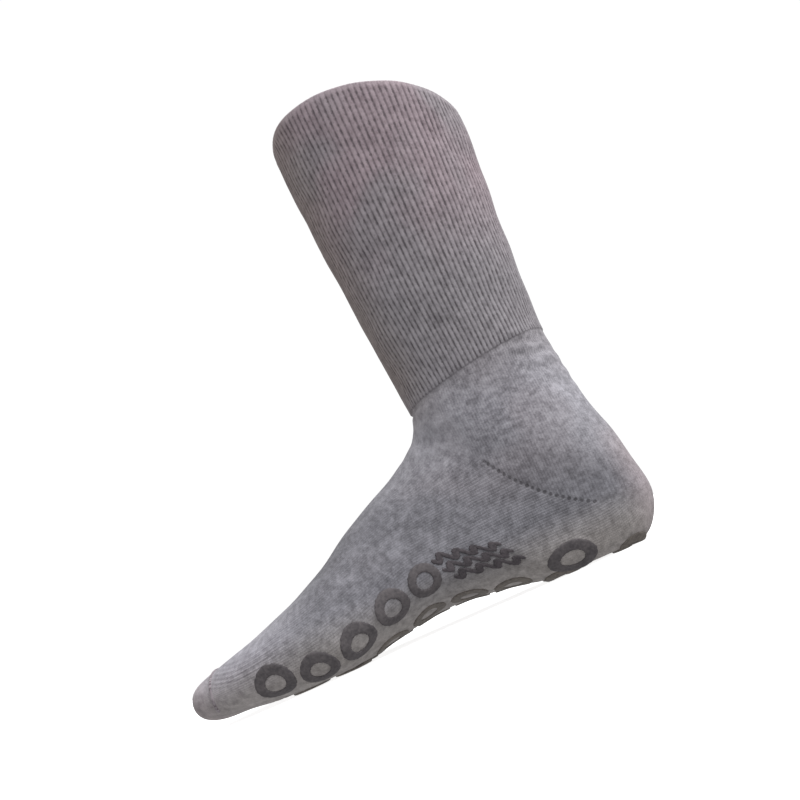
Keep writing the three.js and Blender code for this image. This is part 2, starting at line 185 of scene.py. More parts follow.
@dataclass(frozen=True)
class Last:
    """The form that the knit is worn on: sections from collar to toe, and the curves between them."""

    foot_length: float = 0.245
    ball_width: float = 0.092
    heel_width: float = 0.063
    instep_height: float = 0.088
    arch_lift: float = 0.009
    collar_front_height: float = 0.268
    collar_back_height: float = 0.243
    collar_side_lift: float = 0.007
    collar_depth: float = 0.101
    collar_width: float = 0.093
    rib_front_height: float = 0.104
    rib_back_height: float = 0.116
    ankle_depth: float = 0.080
    ankle_width: float = 0.066
    achilles_hollow: float = 0.013
    leg_roundness: float = 2.15
    wall: float = 0.0018
    sole_level: float = 0.0011
    rib_end_slope: float = 2.0
    fine_steps: int = 360

    @property
    def heel_back(self) -> float:
        """X of the heel's rearmost point."""
        return -self.foot_length / 2

    def leg_section(self, row: LegRow) -> Section:
        """The section that a row of the leg's table gives.

        Args:
            row: The row.

        Returns:
            The section, in numbers.
        """
        back = self.heel_back + self.achilles_hollow * (1 - row.lean)
        half = (self.ankle_width + (self.collar_width - self.ankle_width) * row.wide) / 2
        depth = self.ankle_depth + (self.collar_depth - self.ankle_depth) * row.deep
        front = self.rib_front_height + (self.collar_front_height - self.rib_front_height) * row.rise
        rear = self.rib_back_height + (self.collar_back_height - self.rib_back_height) * row.rise
        lift = self.collar_side_lift * row.rise**2
        round_off = self.leg_roundness
        return Section(back + depth, front, back, rear, half, half, 0, 0.5, round_off, round_off, 0, lift)

    def heel_section(self, row: HeelRow) -> Section:
        """The section that a row of the heel's table gives.

        Args:
            row: The row.

        Returns:
            The section, in numbers.
        """
        half = row.wide * self.heel_width / 2
        return Section(
            self.heel_back + row.top_along * self.foot_length,
            row.top_height * self.instep_height,
            self.heel_back + row.low_along * self.foot_length,
            row.low_height * self.instep_height,
            half, half, 0, row.widest, row.round_top, row.round_low, 0, 0,
        )

    def foot_section(self, row: FootRow) -> Section:
        """The section that a row of the foot's table gives.

        Args:
            row: The row.

        Returns:
            The section, in numbers.
        """
        half = self.ball_width / 2
        return Section(
            self.heel_back + row.top_along * self.foot_length,
            row.top_height * self.instep_height,
            self.heel_back + row.low_along * self.foot_length,
            row.low_height * self.instep_height,
            row.medial * half, row.lateral * half, row.ridge * half,
            row.widest, row.round_top, row.round_low, row.arch * self.arch_lift, 0,
        )

    def sections(self, stations: np.ndarray) -> Section:
        """Sections at stations, on a Catmull-Rom curve through the tables' rows.

        Args:
            stations: Places from 0, the collar, to the toe's station.

        Returns:
            The sections, each field a column.
        """
        rows = [self.leg_section(row) for row in LEG_ROWS]
        rows += [self.heel_section(row) for row in HEEL_ROWS]
        rows += [self.foot_section(row) for row in FOOT_ROWS]
        table = np.array(rows, float)
        last = len(table) - 1
        first = np.clip(np.floor(stations).astype(int), 0, last - 1)
        share = (stations - first)[:, None]
        before, near, far, after = (table[np.clip(first + k, 0, last)] for k in (-1, 0, 1, 2))
        slope_in = (far - before) / 2
        slope_out = (after - near) / 2
        rise = far - near
        steepest = self.rib_end_slope * np.abs(rise)
        under_rib = (first == RIB_STATION)[:, None]
        slope_in = np.where(under_rib, np.clip(slope_in, -steepest, steepest), slope_in)
        cubic = slope_in + slope_out - 2 * rise
        square = 3 * rise - 2 * slope_in - slope_out
        blended = near + share * (slope_in + share * (square + share * cubic))
        return Section(*[column[:, None] for column in blended.T])

    def curve(self, section: Section, turn: np.ndarray, side: Side) -> np.ndarray:
        """Points of the sections' curves.

        Args:
            section: Sections, each field a column.
            turn: From 0 at the top of a section to 1 at its low point.
            side: The side of the foot.

        Returns:
            An array of sections by turns by three.
        """
        angle = turn * math.pi
        above = angle <= math.pi / 2
        power = 2 / np.where(above, section.round_top, section.round_low)
        reach = np.abs(np.cos(angle)) ** power
        down = np.where(above, section.widest * (1 - reach), section.widest + (1 - section.widest) * reach)
        out = np.abs(np.sin(angle)) ** power
        keel = (section.medial - section.lateral) / 2
        reach_out = section.medial if side is Side.MEDIAL else -section.lateral
        edge = reach_out - (section.ridge + (keel - section.ridge) * section.widest)
        y = section.ridge + (keel - section.ridge) * down + edge * out
        width = np.maximum(section.medial + section.lateral, MM)
        across = np.clip((y + section.lateral) / width, 0, 1)
        under = np.clip((down - section.widest) / (1 - section.widest), 0, 1)
        lift = section.arch * across**2 * under + section.side_lift * out**2
        x = section.top_x + (section.low_x - section.top_x) * down
        z = section.top_z + (section.low_z - section.top_z) * down + lift
        return np.stack([x, y, np.maximum(z, self.sole_level)], axis=-1)

    def halves(self, stations: np.ndarray) -> dict[Side, tuple[np.ndarray, np.ndarray]]:
        """Each half of the sections as points, with their distances along it.

        Args:
            stations: Where the sections are.

        Returns:
            For each side its points and their distances from the section's top.
        """
        section = self.sections(stations)
        quarter = np.linspace(0, math.pi, self.fine_steps // 2 + 1)
        bend = (1 - np.cos(quarter)) / 4
        turn = np.concatenate([bend, 0.5 + bend[1:]])[None, :]
        found = {}
        for side in Side:
            points = self.curve(section, turn, side)
            steps = np.linalg.norm(np.diff(points, axis=1), axis=2)
            lengths = np.concatenate([np.zeros((len(stations), 1)), np.cumsum(steps, axis=1)], axis=1)
            found[side] = (points, lengths)
        return found

    def grid(self, stations: np.ndarray, around: np.ndarray) -> np.ndarray:
        """Points of the outer skin, spread evenly along each half of a section.

        Args:
            stations: One station for each row.
            around: From 0 at the top over the arch side to 1, the same for each row.

        Returns:
            An array of rows by columns by three.
        """
        halves = self.halves(stations)
        medial = around <= 0.5
        share = 2 * np.where(medial, around, 1 - around)
        out = np.empty((len(stations), len(around), 3))
        for side, chosen in ((Side.MEDIAL, medial), (Side.LATERAL, ~medial)):
            points, lengths = halves[side]
            for row in range(len(stations)):
                wanted = share[chosen] * lengths[row, -1]
                for axis in range(3):
                    out[row, chosen, axis] = np.interp(wanted, lengths[row], points[row, :, axis])
        return out


@dataclass(frozen=True)
class Crease:
    """A soft trough in the knit with a low ridge at each side, drawn in the side view of the sock."""

    path: tuple[tuple[float, float], ...]
    width: float
    depth: float
    ridge: float = 0.5
    ridge_place: float = 1.9

    def lift(self, points: np.ndarray) -> np.ndarray:
        """How far the crease lifts the skin at points, negative in its trough.

        Args:
            points: Places on the skin.

        Returns:
            The heights.
        """
        x, z = points[..., 0], points[..., 2]
        path = np.array(self.path) * MM
        steps = np.linalg.norm(np.diff(path, axis=0), axis=1)
        total = steps.sum()
        nearest = np.full(x.shape, np.inf)
        along = np.zeros(x.shape)
        passed = 0.0
        for start, end, length in zip(path[:-1], path[1:], steps):
            step = (end - start) / length
            reach = np.clip((x - start[0]) * step[0] + (z - start[1]) * step[1], 0, length)
            away = np.hypot(x - start[0] - reach * step[0], z - start[1] - reach * step[1])
            closer = away < nearest
            nearest = np.where(closer, away, nearest)
            along = np.where(closer, (passed + reach) / total, along)
            passed += length
        taper = np.sqrt(np.clip(4 * along * (1 - along), 0, 1))
        trough = -np.exp(-((nearest / self.width) ** 2))
        banks = self.ridge * np.exp(-(((nearest - self.ridge_place * self.width) / self.width) ** 2))
        return self.depth * taper * (trough + banks)


@dataclass(frozen=True)
class HeelSuture:
    """The line at each side of the heel where the courses turn, from near the heel's back to the ankle."""

    start: Span = (-0.0975, 0.0225)
    end: Span = (-0.0515, 0.0645)
    sag: float = 0.0055
    eyelet_pitch: float = 0.0029
    eyelet_size: float = 0.00095
    eyelet_edge: Span = (0.5, 1.3)
    eyelets_start: Span = (0.0, 0.16)
    eyelets_end: Span = (0.98, 1.02)
    eyelets_beside: Span = (0.012, 0.02)
    line_edge: Span = (0.3, 0.9)
    line_part: Span = (0.6, 1.0)
    line_share: float = 0.5
    trough_width: float = 0.0012
    trough_depth: float = 0.0003
    trough_start: Span = (-0.05, 0.1)
    trough_end: Span = (1.05, 0.9)
    trough_beside: Span = (0.01, 0.02)

    @property
    def length(self) -> float:
        """Distance from start to end."""
        return math.hypot(self.end[0] - self.start[0], self.end[1] - self.start[1])

    @property
    def direction(self) -> Span:
        """Unit step from start to end in X and Z."""
        return (
            (self.end[0] - self.start[0]) / self.length,
            (self.end[1] - self.start[1]) / self.length,
        )

    def measure(self, x: Any, z: Any) -> tuple[Any, Any]:
        """Share along the line and height above it, for arrays or sockets.

        Args:
            x: Places along the foot.
            z: Heights over the floor.

        Returns:
            The shares from the line's start to its end, and the heights.
        """
        step_x, step_z = self.direction
        from_start_x = x - self.start[0]
        from_start_z = z - self.start[1]
        share = (from_start_x * step_x + from_start_z * step_z) / self.length
        height = from_start_z * step_x - from_start_x * step_z
        return share, height + share * (1 - share) * (4 * self.sag)

    def lift(self, points: np.ndarray) -> np.ndarray:
        """The shallow trough along the line.

        Args:
            points: Places on the skin.

        Returns:
            The heights, negative in the trough.
        """
        share, height = self.measure(points[..., 0], points[..., 2])
        ends = smoothstep(*self.trough_start, share) * smoothstep(*self.trough_end, share)
        sides = smoothstep(*self.trough_beside, np.abs(points[..., 1]))
        return -self.trough_depth * np.exp(-((height / self.trough_width) ** 2)) * ends * sides


@dataclass(frozen=True)
class Relief:
    """What lifts and sinks the skin from the last: creases, the heel's suture and a slow unevenness."""

    creases: tuple[Crease, ...]
    suture: HeelSuture
    seed: int = 7
    waves: int = 14
    shortest: float = 0.018
    longest: float = 0.06
    height: float = 0.00014

    def unevenness(self, points: np.ndarray) -> np.ndarray:
        """A slow waviness, the sum of plane waves in seeded directions.

        Args:
            points: Places on the skin.

        Returns:
            The heights.
        """
        rng = np.random.default_rng(self.seed)
        total = np.zeros(points.shape[:-1])
        for _ in range(self.waves):
            heading = rng.normal(size=3)
            heading /= np.linalg.norm(heading)
            length = rng.uniform(self.shortest, self.longest)
            offset = rng.uniform(0, 2 * math.pi)
            total += np.sin(points @ heading * (2 * math.pi / length) + offset) * self.height
        return total

    def lift(self, points: np.ndarray) -> np.ndarray:
        """The sum of it all at points of the skin.

        Args:
            points: Places on the skin.

        Returns:
            The heights.
        """
        total = self.unevenness(points) + self.suture.lift(points)
        for crease in self.creases:
            total += crease.lift(points)
        return total


@dataclass
class Skin:
    """The outer skin as a fine grid of places and normals, read by station and by share around."""

    last: Last
    relief: Relief
    rows_per_station: int = 24
    columns: int = 720
    standing_margin: float = 0.00005
    sole_steps: int = 800
    past_last_row: float = 1.001
    search_turns: int = 8
    search_row: float = 0.04
    search_column: float = 0.0015
    points: np.ndarray = field(init=False)
    normals: np.ndarray = field(init=False)
    sole_stations: np.ndarray = field(init=False)
    sole_along: np.ndarray = field(init=False)
    half_lengths: dict[Side, np.ndarray] = field(init=False)

    def __post_init__(self) -> None:
        """Works out the grid, and where the sole's middle runs."""
        last = self.last
        stations = np.linspace(0, TOE_STATION, TOE_STATION * self.rows_per_station + 1)
        around = np.linspace(0, 1, self.columns + 1)
        plain = last.grid(stations, around)
        lifted = plain + self.normals_of(plain) * self.relief.lift(plain)[..., None]
        standing = plain[..., 2] < last.sole_level + self.standing_margin
        lifted[..., 2] = np.where(standing, last.sole_level, np.maximum(lifted[..., 2], last.sole_level))
        lifted[:, -1] = lifted[:, 0]
        self.points = lifted
        self.normals = self.normals_of(lifted)
        self.sole_stations = np.linspace(SOLE_STATION, TOE_STATION, self.sole_steps)
        self.sole_along = last.sections(self.sole_stations).low_x[:, 0] - last.heel_back
        halves = last.halves(self.sole_stations)
        self.half_lengths = {side: lengths[:, -1] for side, (_, lengths) in halves.items()}

    @staticmethod
    def normals_of(grid: np.ndarray) -> np.ndarray:
        """Outward normals of a grid whose last column repeats the first.

        Args:
            grid: The grid's points, row by row.

        Returns:
            A unit normal for each point.
        """
        along = np.gradient(grid, axis=0)
        open_grid = grid[:, :-1]
        turn = np.roll(open_grid, -1, axis=1) - np.roll(open_grid, 1, axis=1)
        turn = np.concatenate([turn, turn[:, :1]], axis=1)
        normals = np.cross(along, turn)
        size = np.linalg.norm(normals, axis=2, keepdims=True)
        normals = normals / np.maximum(size, LEAST_LENGTH)
        normals[-1] = (1.0, 0.0, 0.0)
        return normals

    def at(self, stations: np.ndarray, around: np.ndarray) -> tuple[np.ndarray, np.ndarray]:
        """Places and normals between the grid's points.

        Args:
            stations: Stations.
            around: Shares around, of the same shape.

        Returns:
            Places and unit normals.
        """
        row = np.clip(stations * self.rows_per_station, 0, len(self.points) - self.past_last_row)
        column = (around % 1.0) * self.columns
        i, k = np.floor(row).astype(int), np.floor(column).astype(int)
        down, on = (row - i)[..., None], (column - k)[..., None]
        found = []
        for table in (self.points, self.normals):
            near = table[i, k] * (1 - on) + table[i, k + 1] * on
            far = table[i + 1, k] * (1 - on) + table[i + 1, k + 1] * on
            found.append(near * (1 - down) + far * down)
        normals = found[1] / np.linalg.norm(found[1], axis=-1, keepdims=True)
        return found[0], normals

    def find(self, along: np.ndarray, across: np.ndarray) -> tuple[np.ndarray, np.ndarray]:
        """Stations and shares around of places on the sole.

        Args:
            along: Distances from the heel's back.
            across: Distances across the skin from the sole's middle, positive towards the arch.

        Returns:
            Stations and shares around.
        """
        station = np.interp(along, self.sole_along, self.sole_stations)
        medial, lateral = (
            np.interp(station, self.sole_stations, self.half_lengths[side]) for side in Side
        )
        half = np.where(across >= 0, medial, lateral)
        share = (half - np.abs(across)) / half / 2
        return station, np.where(across >= 0, share, 1 - share)

    def on_sole(self, along: np.ndarray, across: np.ndarray) -> tuple[np.ndarray, np.ndarray]:
        """Places and normals of the sole, by distances from the heel's back and from the sole's middle."""
        return self.at(*self.find(along, across))

    def laid_flat(
        self, middle: tuple[float, float], along: np.ndarray, across: np.ndarray
    ) -> tuple[np.ndarray, np.ndarray]:
        """Places and normals of a small flat pattern laid on the sole.

        Args:
            middle: Where the pattern's middle is, along and across the sole.
            along: The pattern's points along the foot, from its middle.
            across: The pattern's points across the foot, from its middle.

        Returns:
            Places and unit normals.
        """
        centre, normal = self.on_sole(np.array([middle[0]]), np.array([middle[1]]))
        ahead = np.array([1.0, 0.0, 0.0]) - normal[0] * normal[0, 0]
        ahead /= np.linalg.norm(ahead)
        aside = np.cross(ahead, normal[0])
        station, around = self.find(middle[0] + along, middle[1] + across)
        row, column = self.search_row, self.search_column
        for _ in range(self.search_turns):
            away = self.at(station, around)[0] - centre
            by_row = (self.at(station + row, around)[0] - self.at(station - row, around)[0]) / (2 * row)
            by_column = self.at(station, around + column)[0] - self.at(station, around - column)[0]
            by_column /= 2 * column
            miss_ahead = away @ ahead - along
            miss_aside = away @ aside - across
            row_ahead, row_aside = by_row @ ahead, by_row @ aside
            column_ahead, column_aside = by_column @ ahead, by_column @ aside
            area = row_ahead * column_aside - column_ahead * row_aside
            station = station - (column_aside * miss_ahead - column_ahead * miss_aside) / area
            around = around - (row_ahead * miss_aside - row_aside * miss_ahead) / area
        return self.at(station, around)


Value = Union["Socket", float]


class Socket:
    """A node's output, on which an expression adds Math nodes."""

    def __init__(self, board: "Board", link: bpy.types.NodeSocket) -> None:
        """Keeps the output and the board that it is on."""
        self.board = board
        self.link = link

    def __add__(self, other: Value) -> "Socket":
        """Sum."""
        return self.board.math("ADD", self, other)

    def __radd__(self, other: Value) -> "Socket":
        """Sum with a number before."""
        return self.board.math("ADD", other, self)

    def __sub__(self, other: Value) -> "Socket":
        """Difference."""
        return self.board.math("SUBTRACT", self, other)

    def __rsub__(self, other: Value) -> "Socket":
        """Difference from a number before."""
        return self.board.math("SUBTRACT", other, self)

    def __mul__(self, other: Value) -> "Socket":
        """Product."""
        return self.board.math("MULTIPLY", self, other)

    def __rmul__(self, other: Value) -> "Socket":
        """Product with a number before."""
        return self.board.math("MULTIPLY", other, self)

    def __truediv__(self, other: Value) -> "Socket":
        """Quotient."""
        return self.board.math("DIVIDE", self, other)

    def __rtruediv__(self, other: Value) -> "Socket":
        """Quotient with a number before."""
        return self.board.math("DIVIDE", other, self)

    def __pow__(self, other: Value) -> "Socket":
        """Power."""
        return self.board.math("POWER", self, other)

    def __rpow__(self, other: Value) -> "Socket":
        """Power of a number before."""
        return self.board.math("POWER", other, self)

    def sine(self) -> "Socket":
        """Sine."""
        return self.board.math("SINE", self)

    def root(self) -> "Socket":
        """Square root."""
        return self.board.math("SQRT", self)

    def size(self) -> "Socket":
        """Absolute value."""
        return self.board.math("ABSOLUTE", self)

    def fraction(self) -> "Socket":
        """What is left over a whole number."""
        return self.board.math("FRACT", self)

    def whole(self) -> "Socket":
        """The whole number below."""
        return self.board.math("FLOOR", self)

    def most(self, other: Value) -> "Socket":
        """The larger of two."""
        return self.board.math("MAXIMUM", self, other)

    def ripple(self) -> "Socket":
        """A wave between 0 and 1, one to each whole number."""
        return (self * (2 * math.pi)).sine() * 0.5 + 0.5

    def near_end(self) -> "Socket":
        """How far a share is from the nearer of 0 and 1."""
        return 0.5 - (self - 0.5).size()

    def soft(self, low: float, high: float, start: float = 0.0, end: float = 1.0) -> "Socket":
        """A soft step from start at low to end at high."""
        values = {"Value": self, "From Min": low, "From Max": high, "To Min": start, "To Max": end}
        return self.board.node("ShaderNodeMapRange", {"interpolation_type": "SMOOTHSTEP"}, values)


class Board:
    """The nodes of one material and its surface shader."""

    def __init__(self, name: str) -> None:
        """Makes an empty material.

        Args:
            name: The material's name.
        """
        self.material = bpy.data.materials.new(name)
        self.material.use_nodes = True
        self.tree = self.material.node_tree
        self.tree.nodes.clear()
        self.shader = self.tree.nodes.new("ShaderNodeBsdfPrincipled")
        output = self.tree.nodes.new("ShaderNodeOutputMaterial")
        self.tree.links.new(self.shader.outputs["BSDF"], output.inputs["Surface"])

    def give(self, node: bpy.types.Node, name: Union[str, int], value: Any) -> None:
        """Sets or links one input of a node.

        Args:
            node: The node.
            name: The input's name or number.
            value: A socket to link, or the value to set.
        """
        if isinstance(value, Socket):
            self.tree.links.new(value.link, node.inputs[name])
        else:
            node.inputs[name].default_value = value

    def node(
        self,
        kind: str,
        settings: Optional[dict[str, Any]] = None,
        values: Optional[dict[Union[str, int], Any]] = None,
        output: Union[str, int] = 0,
    ) -> Socket:
        """Adds a node.

        Args:
            kind: The node's type.
            settings: The node's own settings, which are set first.
            values: Its inputs' values or links.
            output: The output that is wanted.

        Returns:
            That output.
        """
        made = self.tree.nodes.new(kind)
        for name, setting in (settings or {}).items():
            setattr(made, name, setting)
        for name, value in (values or {}).items():
            self.give(made, name, value)
        return Socket(self, made.outputs[output])

    def math(self, operation: str, *values: Value) -> Socket:
        """Adds a Math node."""
        return self.node("ShaderNodeMath", {"operation": operation}, dict(enumerate(values)))

    def blend(self, share: Value, start: Value, end: Value) -> Socket:
        """A number between two, by a share."""
        return start + (end - start) * share

    def tint(self, share: Value, start: Any, end: Any) -> Socket:
        """A colour between two.

        Args:
            share: The factor.
            start: The first colour, or its socket.
            end: The second colour, or its socket.

        Returns:
            The mixed colour.
        """
        settings = {"data_type": "RGBA", "blend_type": "MIX", "clamp_factor": True}
        return self.node("ShaderNodeMix", settings, {0: share, 6: start, 7: end}, output=2)

    def place(self) -> Socket:
        """The place on the object, in metres."""
        return self.node("ShaderNodeTexCoord", output="Object")

    def split(self, vector: Socket) -> tuple[Socket, Socket, Socket]:
        """A vector's three numbers.

        Args:
            vector: The vector.

        Returns:
            Its three parts.
        """
        made = self.tree.nodes.new("ShaderNodeSeparateXYZ")
        self.give(made, 0, vector)
        return tuple(Socket(self, output) for output in made.outputs)

    def join(self, x: Value, y: Value, z: Value = 0.0) -> Socket:
        """A vector from three numbers."""
        return self.node("ShaderNodeCombineXYZ", values={0: x, 1: y, 2: z})

    def stretch(self, vector: Socket, factors: Sequence[float]) -> Socket:
        """A vector times three factors."""
        settings = {"operation": "MULTIPLY"}
        return self.node("ShaderNodeVectorMath", settings, {0: vector, 1: tuple(factors)})

    def noise(self, vector: Socket, scale: float, detail: float = 2.0, rough: float = 0.5) -> Socket:
        """A noise between 0 and 1."""
        values = {"Vector": vector, "Scale": scale, "Detail": detail, "Roughness": rough}
        return self.node("ShaderNodeTexNoise", {"noise_dimensions": "3D"}, values)

    def map(self, name: str) -> tuple[Socket, Socket]:
        """The two numbers of a UV map."""
        u, v, _ = self.split(self.node("ShaderNodeUVMap", {"uv_map": name}))
        return u, v

    def bump(self, height: Socket, distance: float, under: Optional[Socket] = None) -> Socket:
        """A bumped normal.

        Args:
            height: The height, as a share of the distance.
            distance: The height of 1, in metres.
            under: A normal to start from.

        Returns:
            The normal.
        """
        values: dict[Union[str, int], Any] = {"Strength": 1.0, "Distance": distance, "Height": height}
        if under is not None:
            values["Normal"] = under
        return self.node("ShaderNodeBump", values=values)

    def finish(self, values: dict[str, Any]) -> bpy.types.Material:
        """Sets the surface shader's inputs.

        Args:
            values: Values or links by the inputs' names.

        Returns:
            The material.
        """
        for name, value in values.items():
            self.give(self.shader, name, value)
        return self.material


Colour = tuple[float, float, float, float]


def linear(red: int, green: int, blue: int) -> Colour:
    """A colour of 0 to 255 steps as the renderer's linear numbers.

    Args:
        red: Steps of red.
        green: Steps of green.
        blue: Steps of blue.

    Returns:
        The colour, opaque.
    """
    shares = [c / 255 for c in (red, green, blue)]
    light = [c / 12.92 if c <= 0.04045 else ((c + 0.055) / 1.055) ** 2.4 for c in shares]
    return (light[0], light[1], light[2], 1.0)


class Yarn(NamedTuple):
    """The darkest and the lightest tone of the marl yarn in one zone of the sock."""

    dark: Colour
    light: Colour


class Knit(NamedTuple):
    """Where a point of the knit is: its place, its shares around and its distances along."""

    place: Socket
    x: Socket
    y: Socket
    z: Socket
    leg_across: Socket
    leg_along: Socket
    foot_across: Socket
    foot_along: Socket
    above_rib_end: Socket
    below_rim: Socket
    along_suture: Socket
    above_suture: Socket


@dataclass(frozen=True)
class ToneZones:
    """Where the yarn's tones begin and are full, and the share that each has. The ankle, bend, heel back, toe
    and toes' top zones are painted light, and the sole's zone is partly.

    A rise is a height, ahead and behind are distances from the foot's middle, and around is a share of the
    way around from the front of the leg or the top of the foot.
    """

    patch_scale: float = 26.0
    patch_edge: Span = (0.36, 0.6)
    patch_rise: Span = (0.03, 0.06)
    patch_share: float = 0.15
    # Where the ankle's lighter tone, painted light, begins and is full.
    ankle_light_rise: Span = (0.045, 0.08)
    ankle_light_behind: Span = (0.01, 0.045)
    # Painted light on the front of the ankle's bend, where the leg meets the instep.
    bend_light_rise: Span = (0.055, 0.085)
    bend_light_around: Span = (0.03, 0.22)
    bend_light_share: float = 0.8
    # Painted light over the back of the heel.
    heel_back_light_rise: Span = (0.035, 0.06)
    heel_back_light_behind: Span = (0.07, 0.11)
    heel_back_light_share: float = 0.35
    leg_rise: Span = (0.085, 0.125)
    rosy_rise: Span = (0.14, 0.215)
    rosy_least: float = 0.3
    shin_around: Span = (0.04, 0.16)
    shin_share: float = 0.75
    # Where the toe's lighter tone, painted light, begins and is full.
    toe_light_ahead: Span = (0.05, 0.1)
    # Painted highlight on top of the toes, where the light falls from above.
    toes_top_highlight_ahead: Span = (0.04, 0.075)
    toes_top_highlight_around: Span = (0.1, 0.26)
    toes_top_highlight_share: float = 0.65
    sole_rise: Span = (0.005, 0.03)
    sole_share: float = 0.8
    tip_ahead: Span = (0.098, 0.121)
    tip_share: float = 0.5
    heel_rise: Span = (0.04, 0.07)
    heel_behind: Span = (0.1, 0.121)
    heel_share: float = 0.6


@dataclass(frozen=True)
class StretchLines:
    """Fine bowed lines where the knit is drawn over the inner side of the toes' base."""

    middle: float = 0.088
    reach: float = 0.024
    bow: float = 0.005
    pitch: float = 0.0019
    low_edge: Span = (0.014, 0.018)
    high_edge: Span = (0.024, 0.029)
    ends: Span = (0.6, 1.1)
    inner_side: Span = (0.0, 0.01)

    def draw(self, knit: Knit) -> Socket:
        """The lines, from 0 to 1.

        Args:
            knit: Where the point is.

        Returns:
            The lines' height.
        """
        from_middle = (knit.x - self.middle) / self.reach
        level = knit.z - from_middle**2 * self.bow
        over = level.soft(*self.low_edge) * (1 - level.soft(*self.high_edge))
        beside = 1 - from_middle.size().soft(*self.ends)
        return (level / self.pitch).ripple() * over * beside * knit.y.soft(*self.inner_side)


@dataclass(frozen=True)
class ToneShares:
    """How much each pattern lightens or darkens the yarn, and how much less of some there is in the ribs."""

    flecks: float = 1.0
    flecks_lost_in_ribs: float = 0.45
    clouds: float = 0.5
    clouds_lost_in_ribs: float = 0.3
    grains: float = 0.55
    # Share of painted shade and light that follow the stitches' height.
    stitches: float = 0.1
    # Share of painted shade in the stretch lines' grooves.
    stretch_line_shade: float = 0.14
    rib_streaks: float = 0.6
    rib_gain: float = 0.13
    # Share of the painted highlight along the rim's rounded edge.
    rim_highlight: float = 0.12


